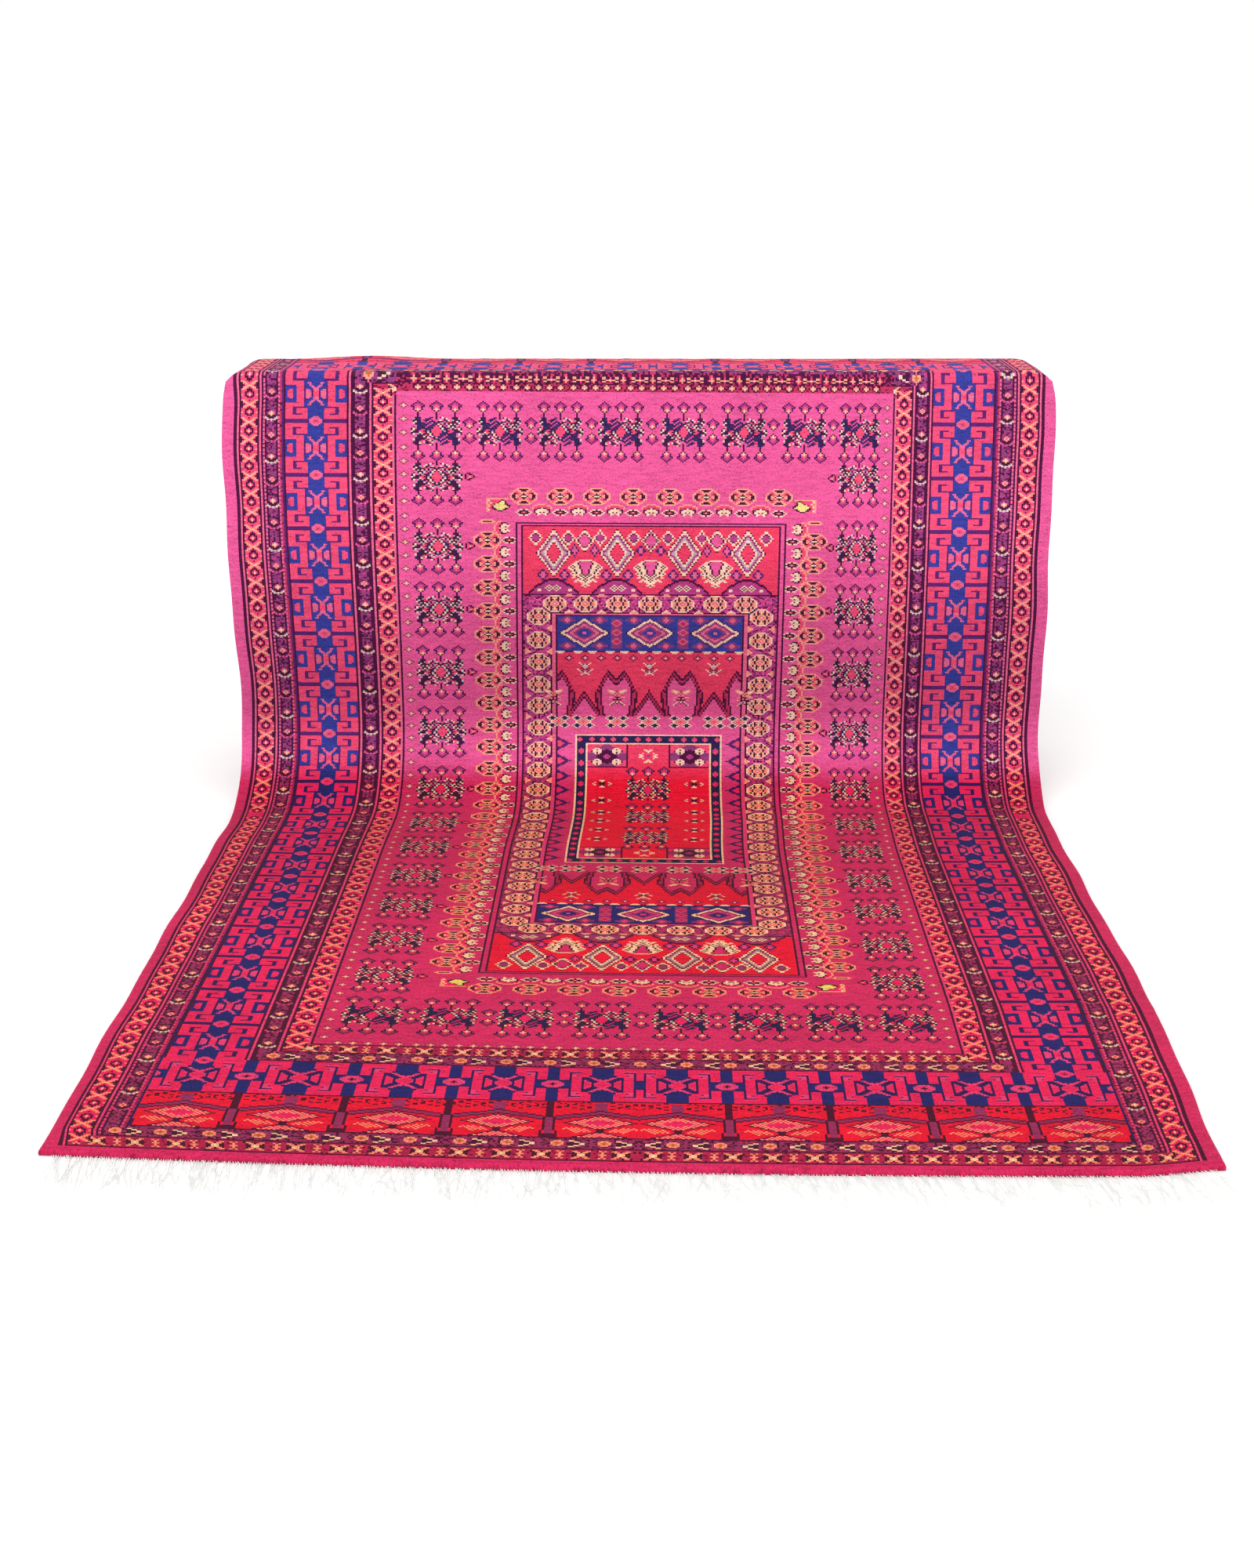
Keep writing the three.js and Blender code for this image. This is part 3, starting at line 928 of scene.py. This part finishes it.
def make_chart():
    border = Chart(MIDDLE_ROW + 1, BORDER_COLUMNS, DESIGN_ROWS - 1, "m")
    draw_frames(border)
    draw_main_border(border)
    draw_narrow_bands(border)
    draw_lozenges(border)
    knots = np.zeros((ROWS, COLUMNS), int)
    border.spread(knots)
    draw_side_flowers(knots)
    draw_far_bands(knots)
    draw_field(knots)
    draw_medallion().spread(knots)
    for row, heads in NICHE_PLANTS:
        draw_plant(knots, row, MIDDLE_COLUMN, heads=heads)
    return knots


# How the weave strays from the even chart, in knots: the field drifts to the right, most at the far
# end, the left border leans outwards towards the near end, and the side borders' repeats run ahead of
# the field's on the floor. The rug's own edges stay where they are.
FIELD_DRIFT_FAR, FIELD_DRIFT_NEAR = 8, 1
LEFT_LEAN, RIGHT_SHIFT = 4, 1
AHEAD_BY, AHEAD_ROW, AHEAD_REACH = 5, 640, 115
FIELD_TO, BORDER_FROM, BORDER_TO, STILL_FROM = 95, 160, 216, 224
STILL_ROWS, SETTLED_ROWS = 2, 20


def weave_shift(columns, rows):
    """How far the weave moves each knot of a grid of rows and columns: across, then along."""
    row, column = np.meshgrid(rows, columns, indexing="ij")
    off, near = np.abs(column), row / ROWS
    in_field = np.interp(off, [FIELD_TO, BORDER_FROM], [1, 0])
    in_border = (1 - in_field) * np.interp(off, [BORDER_TO, STILL_FROM], [1, 0])
    inside = np.interp(np.minimum(row, ROWS - row), [STILL_ROWS, SETTLED_ROWS], [0, 1])
    drift = FIELD_DRIFT_FAR + (FIELD_DRIFT_NEAR - FIELD_DRIFT_FAR) * near
    side = np.where(column < 0, -LEFT_LEAN * near, RIGHT_SHIFT)
    ahead = AHEAD_BY * bump((row - AHEAD_ROW) / AHEAD_REACH)
    return inside * (in_field * drift + in_border * side), -inside * in_border * ahead


# Node trees as expressions

class Wire:
    """A socket of a material. Sums on it become Math nodes."""

    def __init__(self, look, socket):
        self.look = look
        self.socket = socket

    def math(self, operation, *values):
        return self.look.node("ShaderNodeMath", {"operation": operation}, dict(enumerate(values)))

    def floor(self):
        return self.math("FLOOR", self)

    def rounded(self):
        return self.math("ROUND", self)

    def sine(self):
        return self.math("SINE", self)

    def at_most(self, limit):
        return self.math("MINIMUM", self, limit)

    def at_least(self, limit):
        return self.math("MAXIMUM", self, limit)

    def stretch(self, low, high, to_low=0.0, to_high=1.0):
        """Maps a range to another, smoothly and clamped."""
        inputs = dict(enumerate((self, low, high, to_low, to_high)))
        return self.look.node("ShaderNodeMapRange", {"interpolation_type": "SMOOTHSTEP"}, inputs)

    def parts(self):
        return [self.look.node("ShaderNodeSeparateXYZ", {}, {0: self}, output) for output in range(3)]


def add_sign(sign, operation):
    """Lets a wire stand on either side of a sign, beside a number or another wire."""
    setattr(Wire, f"__{sign}__", lambda wire, other: wire.math(operation, wire, other))
    setattr(Wire, f"__r{sign}__", lambda wire, other: wire.math(operation, other, wire))


add_sign("add", "ADD")
add_sign("sub", "SUBTRACT")
add_sign("mul", "MULTIPLY")
add_sign("truediv", "DIVIDE")
add_sign("mod", "MODULO")
add_sign("pow", "POWER")


class Look:
    """A material that is built up by code."""

    def __init__(self, name):
        self.material = bpy.data.materials.new(name)
        self.material.use_nodes = True
        self.tree = self.material.node_tree
        self.shader = self.tree.nodes["Principled BSDF"]

    def node(self, kind, settings, inputs, output=0):
        made = self.tree.nodes.new(kind)
        for name, value in settings.items():
            setattr(made, name, value)
        for key, value in inputs.items():
            self.feed(made.inputs[key], value)
        return Wire(self, made.outputs[output])

    def feed(self, socket, value):
        if isinstance(value, Wire):
            self.tree.links.new(value.socket, socket)
        else:
            socket.default_value = value

    def set(self, **sockets):
        for name, value in sockets.items():
            self.feed(self.shader.inputs[name.replace("_", " ").title()], value)

    def flat(self, name):
        return self.node("ShaderNodeUVMap", {"uv_map": name}, {})

    def number(self, name):
        return self.node("ShaderNodeAttribute", {"attribute_name": name}, {}, "Fac")

    def where(self):
        return self.node("ShaderNodeTexCoord", {}, {}, "Object")

    def mapped(self, vector, scale, turn=(0, 0, 0)):
        return self.node("ShaderNodeMapping", {}, {"Vector": vector, "Scale": scale, "Rotation": turn})

    def noise(self, vector, scale, detail=2.0):
        inputs = {"Vector": vector, "Scale": scale, "Detail": detail}
        return self.node("ShaderNodeTexNoise", {}, inputs, "Fac")

    def mix(self, share, first, second):
        return self.node("ShaderNodeMix", {"data_type": "RGBA"}, {0: share, 6: first, 7: second}, 2)

    def bump(self, height, strength, distance):
        return self.node("ShaderNodeBump", {}, {"Height": height, "Strength": strength, "Distance": distance})


def shade(number):
    """A screen colour such as 0xFA5578 as a shader's linear colour."""
    channels = [(number >> shift & 255) / 255 for shift in (16, 8, 0)]
    linear = [c / 12.92 if c <= 0.04045 else ((c + 0.055) / 1.055) ** 2.4 for c in channels]
    return (*linear, 1.0)


def palette_ramp(look, share, which):
    """The colour that a share of the palette stands for, in the copy that which picks, 1 with painted sheen
    and 2 with painted shade: a ramp with a step for each yarn.
    """
    ramp = look.node("ShaderNodeValToRGB", {}, {0: share})
    steps = ramp.socket.node.color_ramp
    steps.interpolation = "CONSTANT"
    while len(steps.elements) < len(COLOURS):
        steps.elements.new(1.0)
    for index, (element, row) in enumerate(zip(steps.elements, COLOURS)):
        element.position = index / len(COLOURS)
        element.color = shade(row[which])
    return ramp


# A cell of the pile side holds 3 knots across and 2 along, one of the reverse 3 across and 8 along. Each
# block of 3 by 2 knots is packed into one number, in which a knot has one of 16 letters.
CELL_COLUMNS, BLOCK_ROWS, PILE_ROWS, BACK_ROWS = 3, 2, 2, 8
BLOCKS = BACK_ROWS // BLOCK_ROWS
SHADES = 16
KNOT_JITTER = 0.45
# Where the copy of the colours with painted sheen on the drop goes over into the copy with painted shade on
# the floor, in metres from the far end
SHEEN_TO_SHADE_FROM, SHEEN_TO_SHADE_TO = 0.78, 0.84
# Painted light and shade along the rug, the pile made darker or brighter by place: start and end, in metres,
# and the factor from there on
PAINTED_LIGHT_STEPS = [(0.38, 0.68, 0.72), (0.68, 0.78, 1.28), (0.80, 0.86, 0.96), (1.15, 1.3, 1.14)]


def knot_colour(look, cell_rows):
    """The colour of the knot at a point, from the numbers on its face, and the place on the flat rug."""
    flat = look.flat("flat")
    u, v, _ = look.flat("cell").parts()
    wobble_u = (look.noise(flat, 420.0) - 0.5) * KNOT_JITTER
    wobble_v = (look.noise(look.mapped(flat, (1, 1, 1), (0, 0, 1.1)), 560.0) - 0.5) * KNOT_JITTER
    column = (u + wobble_u).at_least(0).floor().at_most(CELL_COLUMNS - 1)
    row = (v + wobble_v).at_least(0).floor().at_most(cell_rows - 1)
    packed = look.number("knots_0")
    for block in range(1, cell_rows // BLOCK_ROWS):
        later = row.math("GREATER_THAN", row, BLOCK_ROWS * block - 0.5)
        packed = packed + (look.number(f"knots_{block}") - packed) * later
    scale = (SHADES ** (column + CELL_COLUMNS * (row % BLOCK_ROWS))).rounded()
    share = ((packed / scale).floor() % SHADES + 0.5) / SHADES
    # the palette in two copies: with painted sheen where the rug hangs, with painted shade where it lies on
    # the floor
    with_painted_sheen, with_painted_shade = (palette_ramp(look, share, which) for which in (1, 2))
    _, along, _ = flat.parts()
    return look.mix(along.stretch(SHEEN_TO_SHADE_FROM, SHEEN_TO_SHADE_TO), with_painted_sheen, with_painted_shade), flat


def pile_look():
    look = Look("pile")
    colour, flat = knot_colour(look, PILE_ROWS)
    # painted sheen: long streaks across the rug, lighter and darker, as the pile's lay catches the light
    sheen_streaks = look.noise(look.mapped(flat, (45, 230, 1)), 1.0, 3.0)
    fleck = look.noise(flat, 420.0, 1.0)
    patches = look.noise(flat, 6.0)
    # painted shadow: short dark dashes across the rug, the shade between rows of knots
    dashes = look.noise(look.mapped(flat, (150, 480, 1)), 1.0, 1.0).stretch(0.56, 0.72)
    value = -0.14 + 0.8 * sheen_streaks + 1.1 * fleck + 0.46 * patches - 0.3 * dashes
    _, along, _ = flat.parts()
    # painted light and shade: the pile darker down the drop, brighter at its foot, a little darker at the
    # bend and brighter again out on the floor
    for start, end, factor in PAINTED_LIGHT_STEPS:
        value = value * along.stretch(start, end, 1.0, factor)
    colour = look.node("ShaderNodeVectorMath", {"operation": "SCALE"}, {0: colour, "Scale": value})
    fibres = look.bump(look.noise(flat, 900.0), 0.5, 0.0015)
    look.set(base_color=colour, roughness=0.92, normal=fibres, sheen_weight=0.04, sheen_roughness=0.5)
    look.shader.inputs["Specular IOR Level"].default_value = 0.05
    return look.material


def ribs(position, spacing):
    return (position * (2 * math.pi / spacing)).sine() * 0.5 + 0.5


def back_look():
    """The reverse of the rug: the same knots, flatter and paler, between its wefts."""
    look = Look("rug back")
    # the knots' colours carry the same painted sheen and painted shade as the pile side
    colour, flat = knot_colour(look, BACK_ROWS)
    across, along, _ = flat.parts()
    ridges = ribs(along, KNOT_LENGTH * MM) * ribs(across, KNOT_WIDTH * MM)
    cotton = look.mix(0.16, colour, (0.72, 0.66, 0.56, 1))
    look.set(base_color=cotton, roughness=0.95, normal=look.bump(ridges, 0.6, 0.0006))
    return look.material


# Meshes

def new_piece(name, mesh, *materials):
    piece = bpy.data.objects.new(name, mesh)
    bpy.context.scene.collection.objects.link(piece)
    for material in materials:
        mesh.materials.append(material)
    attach(piece, "root")
    return piece


# The rounded rim: distance from the edge, height of the pile
RIM = [(0.0, 4.2), (0.7, 5.8), (2.2, 7.2), (4.6, 7.85), (8.0, 8.0)]
FINE_MARGIN = 4
UNEVENNESS = 0.12
# The parts of the baked picture, from its lower edge: start and height of the two sides, starts of the rim
PILE_BAKE, BACK_BAKE = (0.12, 0.88), (0, 0.115)
FAR_BAKE, NEAR_BAKE, LEFT_BAKE, RIGHT_BAKE, RIM_BAKE_HEIGHT = 0.1155, 0.1165, 0.1175, 0.1185, 0.0008


def grid_lines(cells, size, extras):
    """Cell borders with extra lines between them, each with the number of its cell."""
    lines = np.array(sorted({round(value, 4) for value in [*np.arange(cells + 1) * size, *extras]}))
    middles = (lines[1:] + lines[:-1]) / 2
    return lines, np.minimum((middles / size).astype(int), cells - 1)


def rim_lines(size):
    insets = [inset for inset, _ in RIM[1:-1]]
    return [*insets, *(size - inset for inset in insets)]


def pile_top(x, y, pile_height):
    """How high the pile stands at points of the flat rug."""
    inset = np.minimum(np.minimum(x, RUG_WIDTH - x), np.minimum(y, RUG_LENGTH - y))
    return np.interp(inset, *zip(*RIM)) * pile_height / PILE_HEIGHT


def woven(lines_x, lines_y):
    """A grid of lines on the flat rug, as far as the weave pulls it about."""
    columns, rows = lines_x / KNOT_WIDTH - COLUMNS / 2, lines_y / KNOT_LENGTH - 0.5
    across, along = weave_shift(columns, rows)
    x, y = np.meshgrid(lines_x, lines_y)
    return x + KNOT_WIDTH * across - RUG_WIDTH / 2, y + KNOT_LENGTH * along


def rug_grid(pile_height):
    """The lines of the grid on both sides of the rug, their cells, and the draped points."""
    xs, cell_x = grid_lines(COLUMNS // CELL_COLUMNS, CELL_COLUMNS * KNOT_WIDTH, rim_lines(RUG_WIDTH))
    top_ys, top_cell = grid_lines(ROWS // PILE_ROWS, PILE_ROWS * KNOT_LENGTH, rim_lines(RUG_LENGTH))
    folds = [(START["back fold"], START["on the table"]), (FOLD_START, FOLD_END)]
    fine = [y for y in top_ys if any(a - FINE_MARGIN < y < b + FINE_MARGIN for a, b in folds)]
    low_ys, low_cell = grid_lines(ROWS // BACK_ROWS, BACK_ROWS * KNOT_LENGTH, fine)
    uneven = UNEVENNESS * np.random.default_rng(5).standard_normal((len(top_ys), len(xs)))
    uneven[[0, -1]] = 0
    uneven[:, [0, -1]] = 0
    top = place(*woven(xs, top_ys), pile_top(*np.meshgrid(xs, top_ys), pile_height) + uneven)
    low = place(*woven(xs, low_ys), 0)
    return xs, cell_x, top_ys, top_cell, low_ys, low_cell, top.reshape(-1, 3), low.reshape(-1, 3)


def pack(letters):
    """The letters of a block of knots as one number."""
    return float(sum(int(letter) * SHADES ** index for index, letter in enumerate(letters)))


class Faces:
    """The faces of the rug, with the slot and knots of each and the places of its corners."""

    def __init__(self):
        self.rings, self.cells, self.flats, self.bakes, self.packs, self.slots = ([] for _ in range(6))

    def add(self, ring, points, cells, bakes, packs, slot=0):
        self.rings.append(tuple(ring))
        self.cells.extend(cells)
        self.flats.extend((x * MM, y * MM) for x, y in points)
        self.bakes.extend(bakes)
        self.packs.append(packs + [0] * (BLOCKS - len(packs)))
        self.slots.append(slot)


def rug_piece(sizes):
    chart = make_chart()
    xs, cell_x, top_ys, top_cell, low_ys, low_cell, top, low = rug_grid(sizes.pile_height / MM)
    top_id = np.arange(len(top)).reshape(-1, len(xs))
    low_id = np.arange(len(low)).reshape(-1, len(xs)) + len(top)
    faces = Faces()

    def lay_side(ids, ys, cell_y, rows, corners, bake, slot):
        """The faces of the pile side or of the reverse, each with its blocks of knots."""
        bake_from, bake_height = bake
        for j, i in np.ndindex(len(ys) - 1, len(xs) - 1):
            first_row, first_column = rows * cell_y[j], CELL_COLUMNS * cell_x[i]
            points = [(xs[i + right], ys[j + near]) for right, near in corners]
            blocks = [
                chart[row:row + BLOCK_ROWS, first_column:first_column + CELL_COLUMNS].ravel()
                for row in range(first_row, first_row + rows, BLOCK_ROWS)
            ]
            faces.add(
                [ids[j + near, i + right] for right, near in corners],
                points,
                [(x / KNOT_WIDTH - first_column, y / KNOT_LENGTH - first_row) for x, y in points],
                [(x / RUG_WIDTH, bake_from + bake_height * (1 - y / RUG_LENGTH)) for x, y in points],
                [pack(block) for block in blocks],
                slot,
            )

    def add_wall(ring, points, strip, turned):
        """A face of the rim, in the colour of the margin."""
        order = -1 if turned else 1
        margin = pack([LETTERS.index("m")] * CELL_COLUMNS * BLOCK_ROWS)
        faces.add(ring[::order], points[::order], [(0.5, 0.5)] * len(ring), strip[::order], [margin])

    lay_side(top_id, top_ys, top_cell, PILE_ROWS, ((0, 0), (0, 1), (1, 1), (1, 0)), PILE_BAKE, 0)
    lay_side(low_id, low_ys, low_cell, BACK_ROWS, ((0, 0), (1, 0), (1, 1), (0, 1)), BACK_BAKE, 1)
    for a, b in zip(range(len(xs) - 1), range(1, len(xs))):
        for end, y, low_v in ((0, 0.0, FAR_BAKE), (-1, RUG_LENGTH, NEAR_BAKE)):
            ring = [top_id[end, a], top_id[end, b], low_id[end, b], low_id[end, a]]
            high_v = low_v + RIM_BAKE_HEIGHT
            strip = [(xs[i] / RUG_WIDTH, v) for i, v in ((a, low_v), (b, low_v), (b, high_v), (a, high_v))]
            add_wall(ring, [(xs[i], y) for i in (a, b, b, a)], strip, end)
    beside = np.searchsorted(top_ys, low_ys)
    for j in range(len(low_ys) - 1):
        above = range(beside[j + 1], beside[j] - 1, -1)
        ys = [low_ys[j], low_ys[j + 1], *(top_ys[k] for k in above)]
        for side, v in ((0, LEFT_BAKE), (-1, RIGHT_BAKE)):
            ring = [low_id[j, side], low_id[j + 1, side], *(top_id[k, side] for k in above)]
            strip = [(y / RUG_LENGTH, v + (RIM_BAKE_HEIGHT if n > 1 else 0)) for n, y in enumerate(ys)]
            add_wall(ring, [(xs[side], y) for y in ys], strip, side)

    mesh = bpy.data.meshes.new("rug")
    mesh.from_pydata(np.concatenate([top, low]).tolist(), [], faces.rings)
    for name, values in (("cell", faces.cells), ("flat", faces.flats), ("OFBake", faces.bakes)):
        mesh.uv_layers.new(name=name).data.foreach_set("uv", np.array(values, np.float32).ravel())
    for block in range(BLOCKS):
        values = np.array([packs[block] for packs in faces.packs], np.float32)
        mesh.attributes.new(f"knots_{block}", "FLOAT", "FACE").data.foreach_set("value", values)
    piece = new_piece("rug_pile", mesh, pile_look(), back_look())
    mesh.polygons.foreach_set("material_index", faces.slots)
    mesh.polygons.foreach_set("use_smooth", [True] * len(faces.rings))
    mesh.update()
    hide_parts("rug")


def strand_mesh(strands):
    """Strands of four points around each of their knots, from their middles, sideways and upward steps."""
    verts, faces = [], []
    for knots in strands:
        base = len(verts)
        for point, right, up, radius in knots:
            for across, rise in ((-1, 0), (0, 1), (1, 0), (0, -1)):
                verts.append(point + right * across * radius + up * rise * radius)
        for k in range(len(knots) - 1):
            for n in range(4):
                a, b = base + 4 * k + n, base + 4 * k + (n + 1) % 4
                faces.append((a, a + 4, b + 4, b))
        faces.append(tuple(base + n for n in range(4)))
        faces.append(tuple(base + 4 * (len(knots) - 1) + n for n in (3, 2, 1, 0)))
    return verts, faces


FRINGE_REACH = 620
STRAND_STEPS, STRAND_RADIUS, STRAND_TAPER, STRAND_ROOT = 6, 0.55, 0.55, 3
NEAR_LEAN, FAR_LEAN = 0.25, 0.08


def fringe_piece(name, near, count, length, seed, material):
    rng = np.random.default_rng(seed)
    strands = []
    for index in range(count):
        x = -FRINGE_REACH + 2 * FRINGE_REACH * (index + 0.5 + 0.6 * (rng.random() - 0.5)) / count
        step = (length * (0.72 + 0.4 * rng.random()) + STRAND_ROOT) / STRAND_STEPS
        lean = (NEAR_LEAN if near else FAR_LEAN) + 0.22 * rng.standard_normal()
        curl = 0.5 * rng.standard_normal()
        rise = 0.6 + 2.2 * rng.random()
        out = -STRAND_ROOT
        knots = []
        for k in range(STRAND_STEPS + 1):
            share = k / STRAND_STEPS
            lift = STRAND_RADIUS + (0.3 + 0.5 * rise) * (1 - share) ** 2
            along = RUG_LENGTH + out if near else -out
            point = place(x, along, lift)
            up = place(x, along, lift + 1) - point
            knots.append((point, np.array([MM, 0, 0]), up, STRAND_RADIUS * (1 - STRAND_TAPER * share)))
            angle = lean + curl * share + 0.18 * math.sin(5 * share + index)
            out += step * math.cos(angle)
            x += step * math.sin(angle)
        strands.append(knots)
    verts, faces = strand_mesh(strands)
    mesh = bpy.data.meshes.new(name)
    mesh.from_pydata([tuple(v) for v in verts], [], faces)
    mesh.polygons.foreach_set("use_smooth", [True] * len(faces))
    return new_piece(name, mesh, material)


def cotton_look(colour):
    look = Look("cotton")
    where = look.where()
    fibre = look.noise(where, 500.0)
    dusty = look.noise(where, 30.0).stretch(0.3, 0.7)
    dull = (colour[0] * 0.88, colour[1] * 0.88, colour[2] * 0.87, 1)
    tone = look.mix(dusty, (*colour, 1), dull)
    look.set(base_color=tone, roughness=0.95, normal=look.bump(fibre, 0.3, 0.0005))
    return look.material


GRAINS = {"table_top": "X", "apron_front": "X", "apron_back": "X", "apron_left": "Y", "apron_right": "Y"}


ACROSS_GRAIN, ALONG_GRAIN = 26.0, 1.3


def wood_look(name, grain, colour):
    look = Look(name)
    scale = [ALONG_GRAIN if axis == grain else ACROSS_GRAIN for axis in "XYZ"]
    warp = look.noise(look.mapped(look.where(), scale), 0.6, 3.0)
    rings = (warp * 14.0).sine() * 0.5 + 0.5
    fine = look.noise(look.mapped(look.where(), [9 * size for size in scale]), 1.0)
    tone = (rings * 0.7 + fine * 0.3).stretch(0.1, 0.95)
    dark = tuple(channel * 0.55 for channel in colour)
    look.set(
        base_color=look.mix(tone, (*dark, 1), (*colour, 1)),
        roughness=fine.stretch(0, 1, 0.42, 0.62),
        normal=look.bump(fine * 0.6 + rings * 0.4, 0.25, 0.0008),
    )
    return look.material


# Settings and tools

class RugSettings(bpy.types.PropertyGroup):
    pile_height: FloatProperty(
        name="Pile height", description="Thickness of the rug with its pile", default=PILE_HEIGHT * MM,
        min=0.004, max=0.009, unit="LENGTH")
    near_fringe: FloatProperty(
        name="Near fringe", description="Length of the warp ends on the floor", default=0.058, min=0.02,
        max=0.06, unit="LENGTH")
    far_fringe: FloatProperty(
        name="Far fringe", description="Length of the warp ends behind the table", default=0.040, min=0.02,
        max=0.04, unit="LENGTH")
    fringe_count: IntProperty(
        name="Warp ends", description="Strands in each fringe", default=640, min=100, max=900)
    cotton: FloatVectorProperty(
        name="Cotton", description="Colour of the undyed warp ends", subtype="COLOR",
        default=(0.97, 0.97, 0.95), min=0, max=1)


class TableSettings(bpy.types.PropertyGroup):
    wood: FloatVectorProperty(
        name="Wood", description="Colour of the oiled pine", subtype="COLOR", default=(0.50, 0.30, 0.15),
        min=0, max=1)


class StageSettings(bpy.types.PropertyGroup):
    floor: FloatVectorProperty(
        name="Floor", description="Colour of the plain floor", subtype="COLOR", default=(0.94, 0.94, 0.94),
        min=0, max=1)
    key_power: FloatProperty(
        name="Main light", description="Strength of the soft light from the front left", default=0.9, min=0)
    fill_power: FloatProperty(
        name="Fill light", description="Strength of the soft light from the front right", default=0.3, min=0)


class RUG_OT_make_rug(bpy.types.Operator):
    """Make the knotted sheet of the rug"""
    bl_idname = "rug.make_rug"
    bl_label = "Rug"

    def execute(self, context):
        rug_piece(context.scene.rug_settings)
        return {"FINISHED"}


class RUG_OT_make_fringes(bpy.types.Operator):
    """Make the loose cotton warp ends at both ends of the rug"""
    bl_idname = "rug.make_fringes"
    bl_label = "Fringes"

    def execute(self, context):
        settings = context.scene.rug_settings
        cotton = cotton_look(tuple(settings.cotton))
        fringes = (
            ("fringe_near_ends", True, settings.near_fringe, 11),
            ("fringe_far_ends", False, settings.far_fringe, 12),
        )
        for name, near, length, seed in fringes:
            piece = fringe_piece(name, near, settings.fringe_count, length / MM, seed, cotton)
            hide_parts(name.removesuffix("_ends"))
        return {"FINISHED"}


class RUG_OT_declare_sheet(bpy.types.Operator):
    """Does nothing: what the rug's sheet rests on and how large it lies flat are not given here"""
    bl_idname = "rug.declare_sheet"
    bl_label = "Lay the sheet"

    def execute(self, context):
        return {"FINISHED"}


class RUG_OT_finish_table(bpy.types.Operator):
    """Give the table its oiled pine"""
    bl_idname = "rug.finish_table"
    bl_label = "Table"

    def execute(self, context):
        colour = tuple(context.scene.table_settings.wood)
        looks = {grain: wood_look(f"pine {grain}", grain, colour) for grain in "XYZ"}
        for name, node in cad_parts.items():
            if name.startswith(("table", "leg", "apron")):
                node.data.materials.clear()
                node.data.materials.append(looks[GRAINS.get(name, "Z")])
        return {"FINISHED"}


# The camera, as fitted to the photo: its distance is taken from the fold
CAMERA_PITCH = math.radians(22.44)
CAMERA_FOCAL_PX, IMAGE_HEIGHT_PX, CENTRE_OFFSET_PX = 2087, 2000, 16
CAMERA_DISTANCE, CAMERA_HEIGHT = 2534, 1017.7
SENSOR = 36.0
FLOOR_SIZE = 30


class RUG_OT_set_stage(bpy.types.Operator):
    """Lay the floor and set the lights and the camera"""
    bl_idname = "rug.set_stage"
    bl_label = "Stage"

    def execute(self, context):
        settings = context.scene.stage_settings
        bpy.ops.object.select_all(action="DESELECT")
        bpy.ops.mesh.primitive_plane_add(size=FLOOR_SIZE, location=(0, 0, 0))
        floor = context.object
        floor.name = "floor"
        look = Look("floor")
        look.set(base_color=(*settings.floor, 1), roughness=0.9)
        floor.data.materials.append(look.material)

        world = bpy.data.worlds.new("studio")
        world.use_nodes = True
        background = world.node_tree.nodes["Background"].inputs
        background["Color"].default_value = (1, 1, 1, 1)
        background["Strength"].default_value = 1.0
        context.scene.world = world
        lights = (
            ("main light", settings.key_power, 50, 48, -28),
            ("fill light", settings.fill_power, 70, 62, 38),
        )
        for name, power, softness, tilt, turn in lights:
            light = bpy.data.lights.new(name, "SUN")
            light.energy = power
            light.angle = math.radians(softness)
            lamp = bpy.data.objects.new(name, light)
            context.scene.collection.objects.link(lamp)
            lamp.rotation_euler = (math.radians(tilt), 0, math.radians(turn))

        camera = bpy.data.cameras.new("camera")
        camera.sensor_fit = "VERTICAL"
        camera.sensor_height = SENSOR
        camera.lens = SENSOR * CAMERA_FOCAL_PX / IMAGE_HEIGHT_PX
        camera.shift_x = -CENTRE_OFFSET_PX / IMAGE_HEIGHT_PX
        holder = bpy.data.objects.new("camera", camera)
        context.scene.collection.objects.link(holder)
        holder.location = (0, (FOLD_Y - CAMERA_DISTANCE) * MM, CAMERA_HEIGHT * MM)
        holder.rotation_euler = (math.pi / 2 - CAMERA_PITCH, 0, 0)
        context.scene.camera = holder
        context.scene.view_settings.view_transform = "Standard"
        return {"FINISHED"}


class RUG_PT_panel(bpy.types.Panel):
    bl_idname = "RUG_PT_panel"
    bl_label = "Rug"
    bl_space_type = "VIEW_3D"
    bl_region_type = "UI"
    bl_category = "Rug"

    def draw(self, context):
        layout = self.layout
        for name in ("rug_settings", "table_settings", "stage_settings"):
            settings = getattr(context.scene, name)
            for key in settings.__annotations__:
                layout.prop(settings, key)
        for operator in OPERATORS:
            layout.operator(operator.bl_idname)


OPERATORS = [
    RUG_OT_make_rug, RUG_OT_make_fringes, RUG_OT_declare_sheet, RUG_OT_finish_table, RUG_OT_set_stage,
]
SETTINGS = {"rug_settings": RugSettings, "table_settings": TableSettings, "stage_settings": StageSettings}
CLASSES = [*SETTINGS.values(), *OPERATORS, RUG_PT_panel]


def register():
    for entry in CLASSES:
        bpy.utils.register_class(entry)
    for name, group in SETTINGS.items():
        setattr(bpy.types.Scene, name, PointerProperty(type=group))


def unregister():
    for name in SETTINGS:
        delattr(bpy.types.Scene, name)
    for entry in reversed(CLASSES):
        bpy.utils.unregister_class(entry)


def main():
    register()
    bpy.ops.rug.make_rug()
    bpy.ops.rug.make_fringes()
    bpy.ops.rug.declare_sheet()
    bpy.ops.rug.finish_table()
    bpy.ops.rug.set_stage()
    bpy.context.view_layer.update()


if __name__ == "__main__":
    main()
